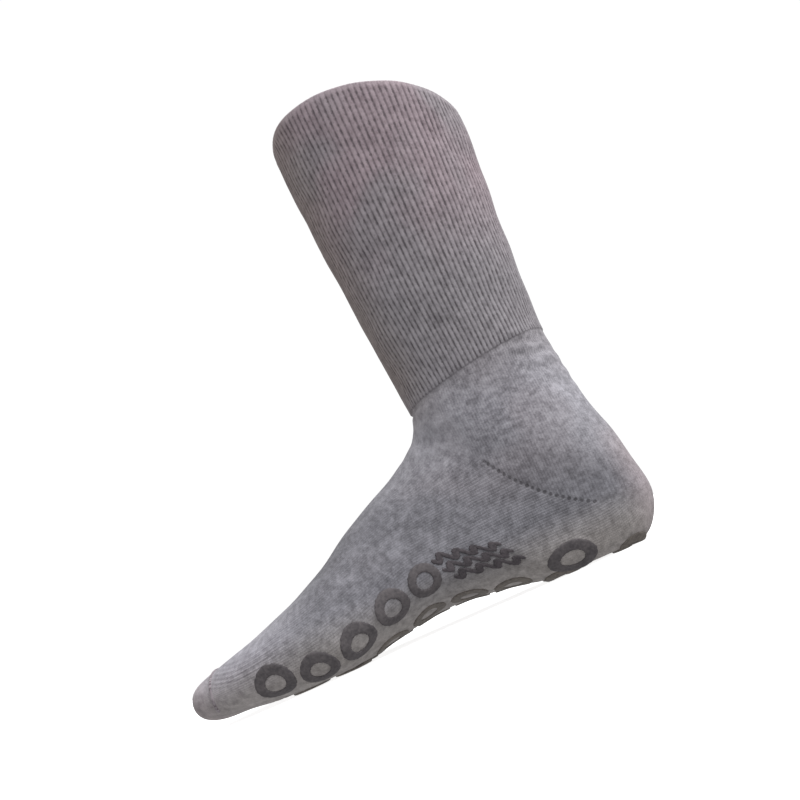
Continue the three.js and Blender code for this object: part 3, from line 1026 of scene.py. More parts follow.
@dataclass(frozen=True)
class MarlKnit:
    """The marl yarn knitted in ribs on the leg and plain on the foot, with painted shade in the rib grooves
    and painted light in some zones.
    """

    suture: HeelSuture
    zones: ToneZones = ToneZones()
    lines: StretchLines = StretchLines()
    shares: ToneShares = ToneShares()
    foot: Yarn = Yarn(linear(91, 90, 95), linear(148, 147, 154))
    # A lighter tone for the ankle, painted light against the shade there.
    ankle: Yarn = Yarn(linear(106, 104, 110), linear(180, 178, 186))
    leg: Yarn = Yarn(linear(98, 94, 98), linear(174, 169, 174))
    rosy: Yarn = Yarn(linear(104, 90, 96), linear(188, 172, 179))
    brown: Yarn = Yarn(linear(102, 92, 89), linear(170, 157, 152))
    # A warmer tone for the sole, also lightened as painted light where the sole faces down into shade.
    sole_warmth_and_light: Yarn = Yarn(linear(134, 128, 125), linear(194, 187, 183))
    # A lighter tone for the toe, painted light where the toe is lit more.
    toe: Yarn = Yarn(linear(133, 130, 139), linear(182, 178, 190))
    # A lighter tone used only as painted light: the ankle's bend, the heel's back and the toes' top.
    pale_painted_light: Yarn = Yarn(linear(140, 138, 145), linear(204, 202, 210))
    pink: Yarn = Yarn(linear(132, 120, 123), linear(198, 184, 188))
    # Painted shade for the grooves between the ribs and for the line under the ribs' end.
    painted_valley_shade: Colour = linear(62, 56, 60)
    eyelet: Colour = linear(48, 45, 47)
    lining: Colour = linear(96, 92, 94)
    ribs: int = RIBS
    wales: int = 168
    course: float = 0.0011
    loop_lean: float = 0.6
    loop_share: float = 0.3
    plain_stitch: float = 0.6
    rib_stitch: float = 0.4
    stitch_height: float = 0.0002
    stretch_depth: float = 0.8
    grain_scale: float = 950.0
    cloud_scale: float = 95.0
    leg_flecks: tuple[float, float, float] = (300, 300, 380)
    foot_flecks: tuple[float, float, float] = (320, 230, 260)
    fleck_detail: float = 2.5
    roughness: float = 0.6
    fuzz_scale: float = 2600.0
    fuzz_roughness: float = 0.65
    fuzz_height: float = 0.0001
    streak: float = 0.006
    streak_apart: float = 5.17
    speck: float = 0.0028
    speck_apart: float = 3.71
    speck_layer: float = 4.0
    speck_edge: Span = (0.35, 0.65)
    speck_share: float = 0.42
    # Where the painted shade in the rib grooves is full, and how it fades towards the rim.
    valley_shade_least: float = 0.27
    valley_shade_edge: Span = (0.25, 0.95)
    valley_shade_grain: float = 1.3
    valley_shade_below_rim: Span = (0.0004, 0.0034)
    rib_end: float = 0.0009
    # Painted shadow line just under the ribs' end.
    rib_end_shade: Span = (0.3, 0.8)
    rib_end_shade_share: float = 0.2
    # Where the painted highlight along the rim fades out.
    highlight_below_rim: Span = (0.0008, 0.004)
    eyelet_share: float = 0.6
    lining_edge: Span = (-0.001, 0.0)
    lining_share: float = 0.25
    suture_blur: float = 0.0004
    suture_spread: float = 0.05

    def read(self, board: Board) -> Knit:
        """Reads the mesh's maps and the place on the suture.

        Args:
            board: The material's nodes.

        Returns:
            Where the point is.
        """
        place = board.place()
        x, y, z = board.split(place)
        leg, foot, edges = board.map("leg_knit"), board.map("foot_knit"), board.map("edges")
        return Knit(place, x, y, z, *leg, *foot, *edges, *self.suture.measure(x, z))

    def loops(self, across: Socket, along: Socket) -> Socket:
        """Height of the wales, with a little of their V-shaped loops.

        Args:
            across: Place across the knit, in wales.
            along: Place along the knit, in courses.

        Returns:
            The height, from 0 to 1.
        """
        out = (across.fraction() - 0.5).size() * 2
        loops = (along - out * self.loop_lean).ripple()
        return (1 - out**2) * (loops * self.loop_share + (1 - self.loop_share))

    def stitches(self, board: Board, knit: Knit, rib: Socket, on_foot: Socket) -> Socket:
        """Height of the stitches, in ribs, in the plain knit of the leg's tube and in that of the foot's.

        Args:
            board: The material's nodes.
            knit: Where the point is.
            rib: 1 on the ribs.
            on_foot: 1 on the foot's side of the suture.

        Returns:
            The height, from 0 to 1.
        """
        leg_course = knit.leg_along / self.course
        leg_plain = self.loops(knit.leg_across * self.wales, leg_course)
        foot_plain = self.loops(knit.foot_across * self.wales, knit.foot_along / self.course)
        in_rib = self.loops(knit.leg_across * (self.ribs * 2), leg_course)
        plain = board.blend(on_foot, leg_plain, foot_plain)
        return board.blend(rib, plain * self.plain_stitch, in_rib * self.rib_stitch)

    def yarns(self, board: Board, knit: Knit) -> tuple[Socket, Socket]:
        """The yarn's darkest and lightest tone, zone by zone, several of them painted light.

        Args:
            board: The material's nodes.
            knit: Where the point is.

        Returns:
            The two colours.
        """
        at = self.zones
        behind = knit.x * -1
        from_front, from_top = knit.leg_across.near_end(), knit.foot_across.near_end()
        patches = board.noise(knit.place, at.patch_scale, 1.0).soft(*at.patch_edge)
        leg = knit.z.soft(*at.leg_rise)
        shin = (1 - from_front.soft(*at.shin_around)) * leg
        # Painted light that lifts the shaded front of the ankle's bend.
        bend = (1 - from_front.soft(*at.bend_light_around)) * knit.z.soft(*at.bend_light_rise)
        # Painted highlight on top of the toes.
        toes_top_highlight = (1 - from_top.soft(*at.toes_top_highlight_around)) * knit.x.soft(*at.toes_top_highlight_ahead)
        tip = knit.x.soft(*at.tip_ahead)
        heel = behind.soft(*at.heel_behind) * (1 - knit.z.soft(*at.heel_rise))
        # Painted light over the back of the heel.
        heel_back = behind.soft(*at.heel_back_light_behind) * knit.z.soft(*at.heel_back_light_rise)
        rosy = knit.z.soft(*at.rosy_rise) * (patches * (1 - at.rosy_least) + at.rosy_least)
        zones = (
            # Painted light: the ankle above the heel is made lighter.
            (knit.z.soft(*at.ankle_light_rise) * behind.soft(*at.ankle_light_behind), self.ankle),
            (patches * knit.z.soft(*at.patch_rise) * at.patch_share, self.pink),
            (bend * at.bend_light_share, self.pale_painted_light),
            (heel_back * at.heel_back_light_share, self.pale_painted_light),
            (leg, self.leg),
            (rosy, self.rosy),
            (shin * at.shin_share, self.brown),
            # Painted light: the toe is made lighter.
            (knit.x.soft(*at.toe_light_ahead), self.toe),
            (toes_top_highlight * at.toes_top_highlight_share, self.pale_painted_light),
            # Warmer sole tone, partly painted light on the shaded underside.
            ((1 - knit.z.soft(*at.sole_rise)) * at.sole_share, self.sole_warmth_and_light),
            ((tip * at.tip_share).most(heel * at.heel_share), self.pink),
        )
        dark, light = self.foot
        for share, yarn in zones:
            dark = board.tint(share, dark, yarn.dark)
            light = board.tint(share, light, yarn.light)
        return dark, light

    def eyelets(self, knit: Knit) -> Socket:
        """The eyelets along the heel's suture, drawn into a line at its front end.

        Args:
            knit: Where the point is.

        Returns:
            How far the point is in an eyelet, from 0 to 1.
        """
        suture = self.suture
        pitch, size = suture.eyelet_pitch, suture.eyelet_size
        beside = ((knit.along_suture * (suture.length / pitch)).fraction() - 0.5) * pitch
        dots = 1 - ((beside**2 + knit.above_suture**2).root() / size).soft(*suture.eyelet_edge)
        line = 1 - (knit.above_suture.size() / size).soft(*suture.line_edge)
        drawn = line * knit.along_suture.soft(*suture.line_part) * suture.line_share
        begun = knit.along_suture.soft(*suture.eyelets_start)
        ended = knit.along_suture.soft(*suture.eyelets_end)
        return dots.most(drawn) * begun * (1 - ended) * knit.y.size().soft(*suture.eyelets_beside)

    def valley_shade_share(self, board: Board, knit: Knit, rib: Socket, grains: Socket) -> Socket:
        """Painted shade in the grooves between the ribs, uneven along each groove.

        Args:
            board: The material's nodes.
            knit: Where the point is.
            rib: 1 on the ribs.
            grains: The yarn's finest unevenness.

        Returns:
            The share of the painted groove shade.
        """
        phase = knit.leg_across * self.ribs
        lane = (phase + 0.5).whole() * self.speck_apart
        specks = board.noise(board.join(lane, knit.leg_along / self.speck, self.speck_layer), 1.0, 1.0)
        groove = (phase.fraction() - 0.5).size() * 2 + (grains - 0.5) * self.valley_shade_grain
        uneven = specks.soft(*self.speck_edge) * self.speck_share + self.valley_shade_least
        ribbed = rib * knit.below_rim.soft(*self.valley_shade_below_rim)
        return groove.soft(*self.valley_shade_edge) * ribbed * uneven

    def streaks(self, board: Board, knit: Knit) -> Socket:
        """A slow unevenness along each rib.

        Args:
            board: The material's nodes.
            knit: Where the point is.

        Returns:
            The unevenness, from 0 to 1.
        """
        lane = (knit.leg_across * self.ribs).whole() * self.streak_apart
        return board.noise(board.join(lane, knit.leg_along / self.streak), 1.0, 2.0)

    def flecks(self, board: Board, knit: Knit, on_foot: Socket) -> Socket:
        """The marl's flecks, drawn out a little around the leg and across the foot.

        Args:
            board: The material's nodes.
            knit: Where the point is.
            on_foot: 1 on the foot's side of the suture.

        Returns:
            The flecks, from 0 to 1.
        """
        leg, foot = (
            board.noise(board.stretch(knit.place, scale), 1.0, self.fleck_detail, self.roughness)
            for scale in (self.leg_flecks, self.foot_flecks)
        )
        return board.blend(on_foot, leg, foot)

    def material(self) -> bpy.types.Material:
        """Builds the material.

        Returns:
            The material, with its nodes.
        """
        board = Board("marl_knit")
        knit = self.read(board)
        rib = knit.above_rib_end.soft(0.0, self.rib_end)
        beyond = (knit.along_suture * -1).most(knit.along_suture - 1).most(0.0)
        from_suture = knit.above_suture / (beyond * self.suture_spread + self.suture_blur)
        on_foot = 1 - from_suture.soft(-1.0, 1.0)
        stitch = self.stitches(board, knit, rib, on_foot)
        grains = board.noise(knit.place, self.grain_scale, 2.0, self.roughness)
        clouds = board.noise(knit.place, self.cloud_scale, self.fleck_detail, self.roughness)
        lines = self.lines.draw(knit)
        # Painted highlight along the rim's rounded edge.
        rim_lip_highlight = 1 - knit.below_rim.size().soft(*self.highlight_below_rim)

        part = self.shares
        in_flecks = part.flecks - rib * part.flecks_lost_in_ribs
        in_clouds = part.clouds - rib * part.clouds_lost_in_ribs
        tone = 0.5 + (self.flecks(board, knit, on_foot) - 0.5) * in_flecks + (clouds - 0.5) * in_clouds
        # The stitch term paints shade into the gaps between loops and light on their tops.
        tone = tone + (grains - 0.5) * part.grains + (stitch - 0.5) * part.stitches
        tone = tone + rib * ((self.streaks(board, knit) - 0.5) * part.rib_streaks + part.rib_gain)
        # Painted shade darkens the stretch lines where the bump sinks them.
        tone = tone - lines * part.stretch_line_shade + rim_lip_highlight * part.rim_highlight

        dark, light = self.yarns(board, knit)
        # Painted shadow line under the step at the ribs' end.
        rib_end_shade = 1 - (knit.above_rib_end / self.rib_end - 0.5).size().soft(*self.rib_end_shade)
        eyelets = self.eyelets(knit)
        inside = 1 - knit.below_rim.soft(*self.lining_edge)
        colour = board.tint(tone.soft(0.0, 1.0), dark, light)
        # Painted shade in the grooves between the ribs.
        colour = board.tint(self.valley_shade_share(board, knit, rib, grains), colour, self.painted_valley_shade)
        colour = board.tint(rib_end_shade * self.rib_end_shade_share, colour, self.painted_valley_shade)
        colour = board.tint(eyelets * self.eyelet_share, colour, self.eyelet)
        colour = board.tint(inside * self.lining_share, colour, self.lining)

        fuzz = board.noise(knit.place, self.fuzz_scale, 3.0, self.fuzz_roughness)
        tall = board.bump(stitch - eyelets - lines * self.stretch_depth, self.stitch_height)
        return board.finish(
            {
                "Base Color": colour,
                "Normal": board.bump(fuzz, self.fuzz_height, tall),
                "Roughness": 0.95,
                "Specular IOR Level": 0.1,
                "Sheen Weight": 0.12,
                "Sheen Roughness": 0.55,
            }
        )


@dataclass(frozen=True)
class LinkingYarn:
    """The thin yarn that links the toe."""

    dark: Colour = linear(108, 100, 105)
    light: Colour = linear(170, 161, 167)
    stitch: float = 0.0014
    twist_share: float = 0.3
    fleck_scale: float = 420.0
    fleck_edge: Span = (0.35, 0.9)
    fuzz_scale: float = 2600.0
    fuzz_roughness: float = 0.65
    fuzz_share: float = 0.5
    height: float = 0.0002

    def material(self) -> bpy.types.Material:
        """Builds the material.

        Returns:
            The material, with its nodes.
        """
        board = Board("linking_yarn")
        place = board.place()
        _, y, _ = board.split(place)
        twist = (y / self.stitch).ripple()
        flecks = board.noise(place, self.fleck_scale, 3.0)
        shade = (flecks + twist * self.twist_share).soft(*self.fleck_edge)
        fuzz = board.noise(place, self.fuzz_scale, 3.0, self.fuzz_roughness)
        return board.finish(
            {
                "Base Color": board.tint(shade, self.dark, self.light),
                "Normal": board.bump(twist + fuzz * self.fuzz_share, self.height),
                "Roughness": 0.95,
                "Specular IOR Level": 0.12,
                "Sheen Weight": 0.2,
                "Sheen Roughness": 0.55,
            }
        )


@dataclass(frozen=True)
class GripFinish:
    """The matt rubber print, through which the knit's grain shows."""

    name: str
    dark: Colour = linear(74, 70, 73)
    light: Colour = linear(106, 101, 103)
    grain: float = 0.0013
    grain_share: float = 0.5
    grain_height: float = 0.00016
    wear_scale: float = 160.0
    wear_share: float = 0.6
    wear_edge: Span = (0.3, 0.7)
    shade_edge: Span = (0.3, 0.8)
    roughness: Span = (0.62, 0.8)

    def material(self) -> bpy.types.Material:
        """Builds the material.

        Returns:
            The material, with its nodes.
        """
        board = Board(self.name)
        place = board.place()
        cells = board.noise(place, 1 / self.grain, 1.5)
        wear = board.noise(place, self.wear_scale, 3.0, 0.6)
        shade = (cells * self.grain_share + wear * self.wear_share).soft(*self.shade_edge)
        return board.finish(
            {
                "Base Color": board.tint(shade, self.dark, self.light),
                "Normal": board.bump(cells, self.grain_height),
                "Roughness": wear.soft(*self.wear_edge, *self.roughness),
                "Specular IOR Level": 0.3,
            }
        )


class Ring(NamedTuple):
    """A closed row of the knit's mesh: its points, and three maps with one more column."""

    points: np.ndarray
    leg_map: np.ndarray
    foot_map: np.ndarray
    edges: np.ndarray


class Sheet:
    """A mesh that grows row by row. A row has as many points as the one before, or half as many."""

    map_names = ("leg_knit", "foot_knit", "edges")

    def __init__(self) -> None:
        """Starts with no rows."""
        self.points: list[np.ndarray] = []
        self.maps: list[list[np.ndarray]] = [[] for _ in self.map_names]
        self.faces: list[np.ndarray] = []
        self.corners: list[np.ndarray] = []
        self.point_count = 0
        self.map_count = 0
        self.last_row = (0, 0, 0)

    def join(self, faces: Sequence[np.ndarray], corners: Sequence[np.ndarray], inward: bool) -> None:
        """Adds faces by their points and their places in the maps.

        Args:
            faces: For each corner of the faces, the numbers of its points.
            corners: For each corner, its numbers in the maps.
            inward: Whether the faces look into the sock.
        """
        order = slice(None, None, -1) if inward else slice(None)
        self.faces.append(np.stack(faces, 1)[:, order])
        self.corners.append(np.stack(corners, 1)[:, order])

    def add(self, ring: Ring, inward: bool = False) -> tuple[int, int, int]:
        """Adds a row and joins it to the last.

        Args:
            ring: The row.
            inward: Whether the new faces look into the sock.

        Returns:
            The row's handle, for resume.
        """
        count = len(ring.points)
        start, map_start = self.point_count, self.map_count
        self.points.append(ring.points)
        for kept, new in zip(self.maps, ring[1:]):
            kept.append(new)
        self.point_count += count
        self.map_count += count + 1
        old, old_map, old_count = self.last_row
        k = np.arange(count)
        turn = (k + 1) % count
        if old_count == count:
            faces = (old + k, start + k, start + turn, old + turn)
            corners = (old_map + k, map_start + k, map_start + k + 1, old_map + k + 1)
            self.join(faces, corners, inward)
        elif old_count == 2 * count:
            wide, wide_map = old + 2 * k, old_map + 2 * k
            wide_turn = old + (2 * k + 2) % old_count
            near, far = map_start + k, map_start + k + 1
            self.join((wide, start + k, wide + 1), (wide_map, near, wide_map + 1), inward)
            self.join((wide + 1, start + k, start + turn), (wide_map + 1, near, far), inward)
            self.join((wide + 1, start + turn, wide_turn), (wide_map + 1, far, wide_map + 2), inward)
        self.last_row = (start, map_start, count)
        return self.last_row

    def resume(self, row: tuple[int, int, int]) -> None:
        """Goes on from an earlier row."""
        self.last_row = row

    def close(self, point: np.ndarray, inward: bool = False) -> None:
        """Joins the last row to one point.

        Args:
            point: The point.
            inward: Whether the new faces look into the sock.
        """
        start, map_start, count = self.last_row
        k = np.arange(count)
        tip = np.full(count, self.point_count)
        self.points.append(point[None, :])
        self.point_count += 1
        faces = (start + k, tip, start + (k + 1) % count)
        self.join(faces, (map_start + k, map_start + k, map_start + k + 1), inward)

    def build(self, name: str) -> bpy.types.Object:
        """Makes the object.

        Args:
            name: The object's name.

        Returns:
            The object, with its maps.
        """
        mesh = bpy.data.meshes.new(name)
        faces = [face for block in self.faces for face in block.tolist()]
        mesh.from_pydata(np.concatenate(self.points).tolist(), [], faces)
        corners = np.concatenate([block.ravel() for block in self.corners])
        for map_name, blocks in zip(self.map_names, self.maps):
            layer = mesh.uv_layers.new(name=map_name)
            layer.data.foreach_set("uv", np.concatenate(blocks)[corners].astype(np.float32).ravel())
        return shown(mesh)


def shown(mesh: bpy.types.Mesh) -> bpy.types.Object:
    """Makes a smooth object of a mesh and puts it into the scene.

    Args:
        mesh: The mesh.

    Returns:
        The object, with the mesh's name.
    """
    mesh.validate(clean_customdata=False)
    mesh.shade_smooth()
    mesh.update()
    made = bpy.data.objects.new(mesh.name, mesh)
    bpy.context.scene.collection.objects.link(made)
    return made


def settle(
    piece: bpy.types.Object,
    material: bpy.types.Material,
    nodes: Sequence[str],
) -> None:
    """Dresses a piece, lets it ride on the body and stand for its nodes.

    Args:
        piece: The piece.
        material: Its finish.
        nodes: The nodes that it replaces.
    """
    piece.data.materials.append(material)
    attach(piece, ROOT)
    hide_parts(*nodes)
    LOG.info("%s: %d faces, in place of %s", piece.name, len(piece.data.polygons), ", ".join(nodes))


@dataclass
class KnitBody:
    """The knitted tube: ribbed leg, heel pocket, foot and toe, with its rim and its inside."""

    skin: Skin
    ribs: int = RIBS
    points_per_rib: int = 7
    rib_height: float = 0.00055
    rib_base: float = 0.00005
    rib_roundness: float = 0.8
    rib_gains: Span = (0.84, 1.08)
    rib_seed: int = 11
    rib_nudge: float = 1e-6
    slow_height: float = 0.08
    slow_waves: float = 210.0
    slow_shift: float = 2.4
    rib_end_fade: float = 0.03
    rim_band: float = 0.0042
    rim_swell: float = 0.0002
    rim_height: float = 0.001
    rim_rib_share: float = 0.2
    rim_rib_fade: Span = (0.1, 0.8)
    edge_reach: float = 0.02
    trace_points: int = 361
    rim_steps: int = 5
    rim_rows: tuple[float, ...] = (0.0, 0.02, 0.045, 0.075, 0.11, 0.15)
    leg_start: float = 0.22
    leg_rows: int = 40
    rib_end_rows: tuple[float, ...] = (0.03, 0.016, 0.008)
    heel_start: float = 0.004
    heel_row_step: float = 0.08
    instep_row_step: float = 0.12
    foot_row_step: float = 0.25
    toe_shares: tuple[float, ...] = (0.0, 0.2, 0.4, 0.56, 0.7, 0.81, 0.9, 0.96)
    inner_rim_row: float = 0.05
    inner_leg_start: float = 0.15
    inner_leg_rows: int = 18
    inner_foot_start: float = 0.2
    inner_foot_rows: int = 46
    inner_last_row: float = 22.7
    gains: np.ndarray = field(init=False)

    def __post_init__(self) -> None:
        """Draws how high each rib stands."""
        rng = np.random.default_rng(self.rib_seed)
        self.gains = rng.uniform(*self.rib_gains, self.ribs)

    def from_station(self, station: float, points: np.ndarray, around: np.ndarray) -> np.ndarray:
        """How far points are from the same shares around at a station."""
        return np.linalg.norm(points - self.skin.at(np.full_like(around, station), around)[0], axis=1)

    def rib_lift(self, station: float, around: np.ndarray, points: np.ndarray) -> np.ndarray:
        """Height of the ribs over the skin.

        Args:
            station: The row's station.
            around: Shares around.
            points: Places on the skin.

        Returns:
            The heights.
        """
        phase = around * self.ribs
        number = np.floor(phase + self.rib_nudge)
        crest = np.abs(np.sin(math.pi * phase)) ** self.rib_roundness
        gain = self.gains[number.astype(int) % self.ribs]
        slow = 1 + self.slow_height * np.sin(points[:, 2] * self.slow_waves + number * self.slow_shift)
        below_rim = self.from_station(0.0, points, around)
        low, high = (share * self.rim_band for share in self.rim_rib_fade)
        shown_share = self.rim_rib_share + (1 - self.rim_rib_share) * smoothstep(low, high, below_rim)
        end = 1 - smoothstep(RIB_STATION - self.rib_end_fade, RIB_STATION, np.full_like(around, station))
        swell = self.rim_swell * (1 - smoothstep(0.0, self.rim_band, below_rim))
        return (self.rib_base + self.rib_height * crest * gain * slow * shown_share) * end + swell

    def fields(self, points: np.ndarray, station: float, around: np.ndarray) -> tuple[np.ndarray, np.ndarray]:
        """Knit coordinates of a row: shares around and distances, for the leg's and the foot's direction.

        Args:
            points: The row's places with the first repeated at the end.
            station: The row's station.
            around: Its shares around.

        Returns:
            The leg's map and the foot's map.
        """
        maps = []
        trace = np.linspace(0, 0.5, self.trace_points)
        for reference, axis in ((RIB_STATION, 0), (FOOT_STATION, 2)):
            line, _ = self.skin.at(np.full(self.trace_points, float(reference)), trace)
            centre = (line[0, axis] + line[-1, axis]) / 2
            reach = abs(line[0, axis] - line[-1, axis]) / 2
            width = line[:, 1].max()
            turns = np.arctan2(np.maximum(line[:, 1], 0) / width, (line[:, axis] - centre) / reach)
            turns = np.maximum.accumulate(turns)
            angle = np.arctan2(np.abs(points[:, 1]) / width, (points[:, axis] - centre) / reach)
            share = np.interp(angle, turns, trace)
            maps.append(np.where(around > 0.5, 1 - share, share))
        leg = around if station <= RIB_STATION else maps[0]
        foot = around if station >= FOOT_STATION else maps[1]
        return np.stack([leg, -points[:, 2]], 1), np.stack([foot, points[:, 0]], 1)

    def ring(self, station: float, count: int, inside: bool = False) -> Ring:
        """A row of the mesh.

        Args:
            station: Its station.
            count: How many points it has.
            inside: Whether it is on the inside of the sock.

        Returns:
            The row.
        """
        around = np.linspace(0, 1, count + 1)
        skin, normals = self.skin.at(np.full(count + 1, station), around)
        wall = self.skin.last.wall
        lift = np.full(count + 1, -wall if inside else 0.0)
        if not inside and station < RIB_STATION:
            lift += self.rib_lift(station, around, skin)
        below_rim = np.minimum(self.from_station(0.0, skin, around), self.edge_reach)
        if inside:
            below_rim = -np.maximum(below_rim, wall)
        return self.placed(skin + normals * lift[:, None], station, around, below_rim)

    def placed(self, points: np.ndarray, station: float, around: np.ndarray, below_rim: np.ndarray) -> Ring:
        """A row through given places.

        Args:
            points: The places, with the first repeated at the end.
            station: The row's station.
            around: Its shares around.
            below_rim: Its distances below the rim, negative on the inside.

        Returns:
            The row.
        """
        leg, foot = self.fields(points, station, around)
        above_rib_end = np.minimum(self.from_station(RIB_STATION, points, around), self.edge_reach)
        if station >= RIB_STATION:
            above_rib_end = -above_rib_end
        return Ring(points[:-1], leg, foot, np.stack([above_rib_end, below_rim], 1))

    def rim(self, outer: Ring, inner: Ring) -> list[Ring]:
        """The rounded rows over the rim, from the outer row to the inner.

        Args:
            outer: The outside's first row.
            inner: The inside's first row.

        Returns:
            The rows between them.
        """
        rows = []
        around = np.linspace(0, 1, len(outer.points) + 1)
        middle = (outer.points + inner.points) / 2
        half = (outer.points - inner.points) / 2
        for k in range(1, self.rim_steps + 1):
            angle = math.pi * k / (self.rim_steps + 1)
            points = middle + half * math.cos(angle)
            points[:, 2] += self.rim_height * math.sin(angle)
            points = np.concatenate([points, points[:1]])
            below_rim = np.full(len(around), (math.cos(angle) - 1) * self.skin.last.wall / 2)
            rows.append(self.placed(points, 0.0, around, below_rim))
        return rows

    def leg_stations(self) -> list[float]:
        """Stations of the outside's rows from the rim to the ribs' end.

        Returns:
            The stations in order.
        """
        rows = np.linspace(self.leg_start, RIB_STATION - self.rib_end_rows[0], self.leg_rows)
        return [*self.rim_rows, *rows, *(RIB_STATION - before for before in self.rib_end_rows[1:])]

    def foot_stations(self) -> list[float]:
        """Stations of the outside's rows from the ribs' end to the toe.

        Returns:
            The stations in order.
        """
        heel = np.arange(RIB_STATION + self.heel_start, SOLE_STATION, self.heel_row_step)
        instep = np.arange(SOLE_STATION, FOOT_STATION, self.instep_row_step)
        foot = np.arange(FOOT_STATION, TOE_STATION - 1, self.foot_row_step)
        return [*heel, *instep, *foot, *(TOE_STATION - 1 + share for share in self.toe_shares)]

    def inner_stations(self) -> list[float]:
        """Stations of the inside's rows below its rim.

        Returns:
            The stations in order.
        """
        foot_start = RIB_STATION + self.inner_foot_start
        leg = np.linspace(self.inner_leg_start, RIB_STATION, self.inner_leg_rows)
        return [*leg, *np.linspace(foot_start, self.inner_last_row, self.inner_foot_rows)]

    def build(self) -> bpy.types.Object:
        """Makes the mesh, outwards from the middle of the rim and then inwards from there.

        Returns:
            The knitted body.
        """
        rib_points = self.ribs * self.points_per_rib
        plain_points = rib_points // 2
        inner_points = plain_points // 2
        inner_top = self.ring(0.0, rib_points, inside=True)
        rim = self.rim(self.ring(0.0, rib_points), inner_top)
        half = len(rim) // 2
        sheet = Sheet()
        middle = sheet.add(rim[half])
        for ring in reversed(rim[:half]):
            sheet.add(ring)
        for station in self.leg_stations():
            sheet.add(self.ring(station, rib_points))
        for station in self.foot_stations():
            sheet.add(self.ring(station, plain_points))
        tip = self.skin.points[-1, 0]
        sheet.close(tip)
        sheet.resume(middle)
        for ring in (*rim[half + 1 :], inner_top, self.ring(self.inner_rim_row, plain_points, inside=True)):
            sheet.add(ring, inward=True)
        for station in self.inner_stations():
            sheet.add(self.ring(station, inner_points, inside=True), inward=True)
        sheet.close(tip - np.array([self.skin.last.wall, 0, 0]), inward=True)
        return sheet.build("knit_body_cloth")


class Band(NamedTuple):
    """The section of a print or bead: shares across its width, and heights as shares of its thickness."""

    across: tuple[float, ...]
    height: tuple[float, ...]


PRINT_BAND = Band(
    across=(0.0, 0.0, 0.06, 0.2, 0.5, 0.8, 0.94, 1.0, 1.0),
    height=(-0.25, 0.45, 0.85, 1.0, 1.0, 1.0, 0.85, 0.45, -0.25),
)

Outline = tuple[np.ndarray, np.ndarray]


def tube(rows: np.ndarray, looped: bool) -> tuple[list[tuple[float, ...]], list[tuple[int, ...]]]:
    """Points and faces of a tube.

    Args:
        rows: Its sections, an array of sections by points by three.
        looped: Whether the last section meets the first; otherwise both ends are capped.

    Returns:
        The points and the faces.
    """
    sections, count = rows.shape[:2]
    faces: list[tuple[int, ...]] = []
    for i in range(sections if looped else sections - 1):
        near, far = i * count, ((i + 1) % sections) * count
        for k in range(count):
            turn = (k + 1) % count
            faces.append((near + k, near + turn, far + turn, far + k))
    if not looped:
        faces.append(tuple(range(count))[::-1])
        faces.append(tuple((sections - 1) * count + k for k in range(count)))
    return [tuple(point) for point in rows.reshape(-1, 3).tolist()], faces


def faced_out(mesh: bpy.types.Mesh) -> None:
    """Turns a closed mesh's faces out.

    Args:
        mesh: The mesh.
    """
    points = np.empty(len(mesh.vertices) * 3)
    mesh.vertices.foreach_get("co", points)
    points = points.reshape(-1, 3)
    mesh.calc_loop_triangles()
    corners = np.empty(len(mesh.loop_triangles) * 3, int)
    mesh.loop_triangles.foreach_get("vertices", corners)
    a, b, c = (points[corners.reshape(-1, 3)[:, k]] for k in range(3))
    if np.einsum("ij,ij->i", a, np.cross(b, c)).sum() < 0:
        mesh.flip_normals()


class Spot(NamedTuple):
    """A place on the heel's sole, in shares of the foot's length and of the heel's width."""

    along: float
    across: float


HEEL_SIDE = Spot(0.188, 0.46)
HEEL_RINGS = {"rear": Spot(0.09, 0.19), "side": HEEL_SIDE, "front": Spot(0.233, 0.175)}


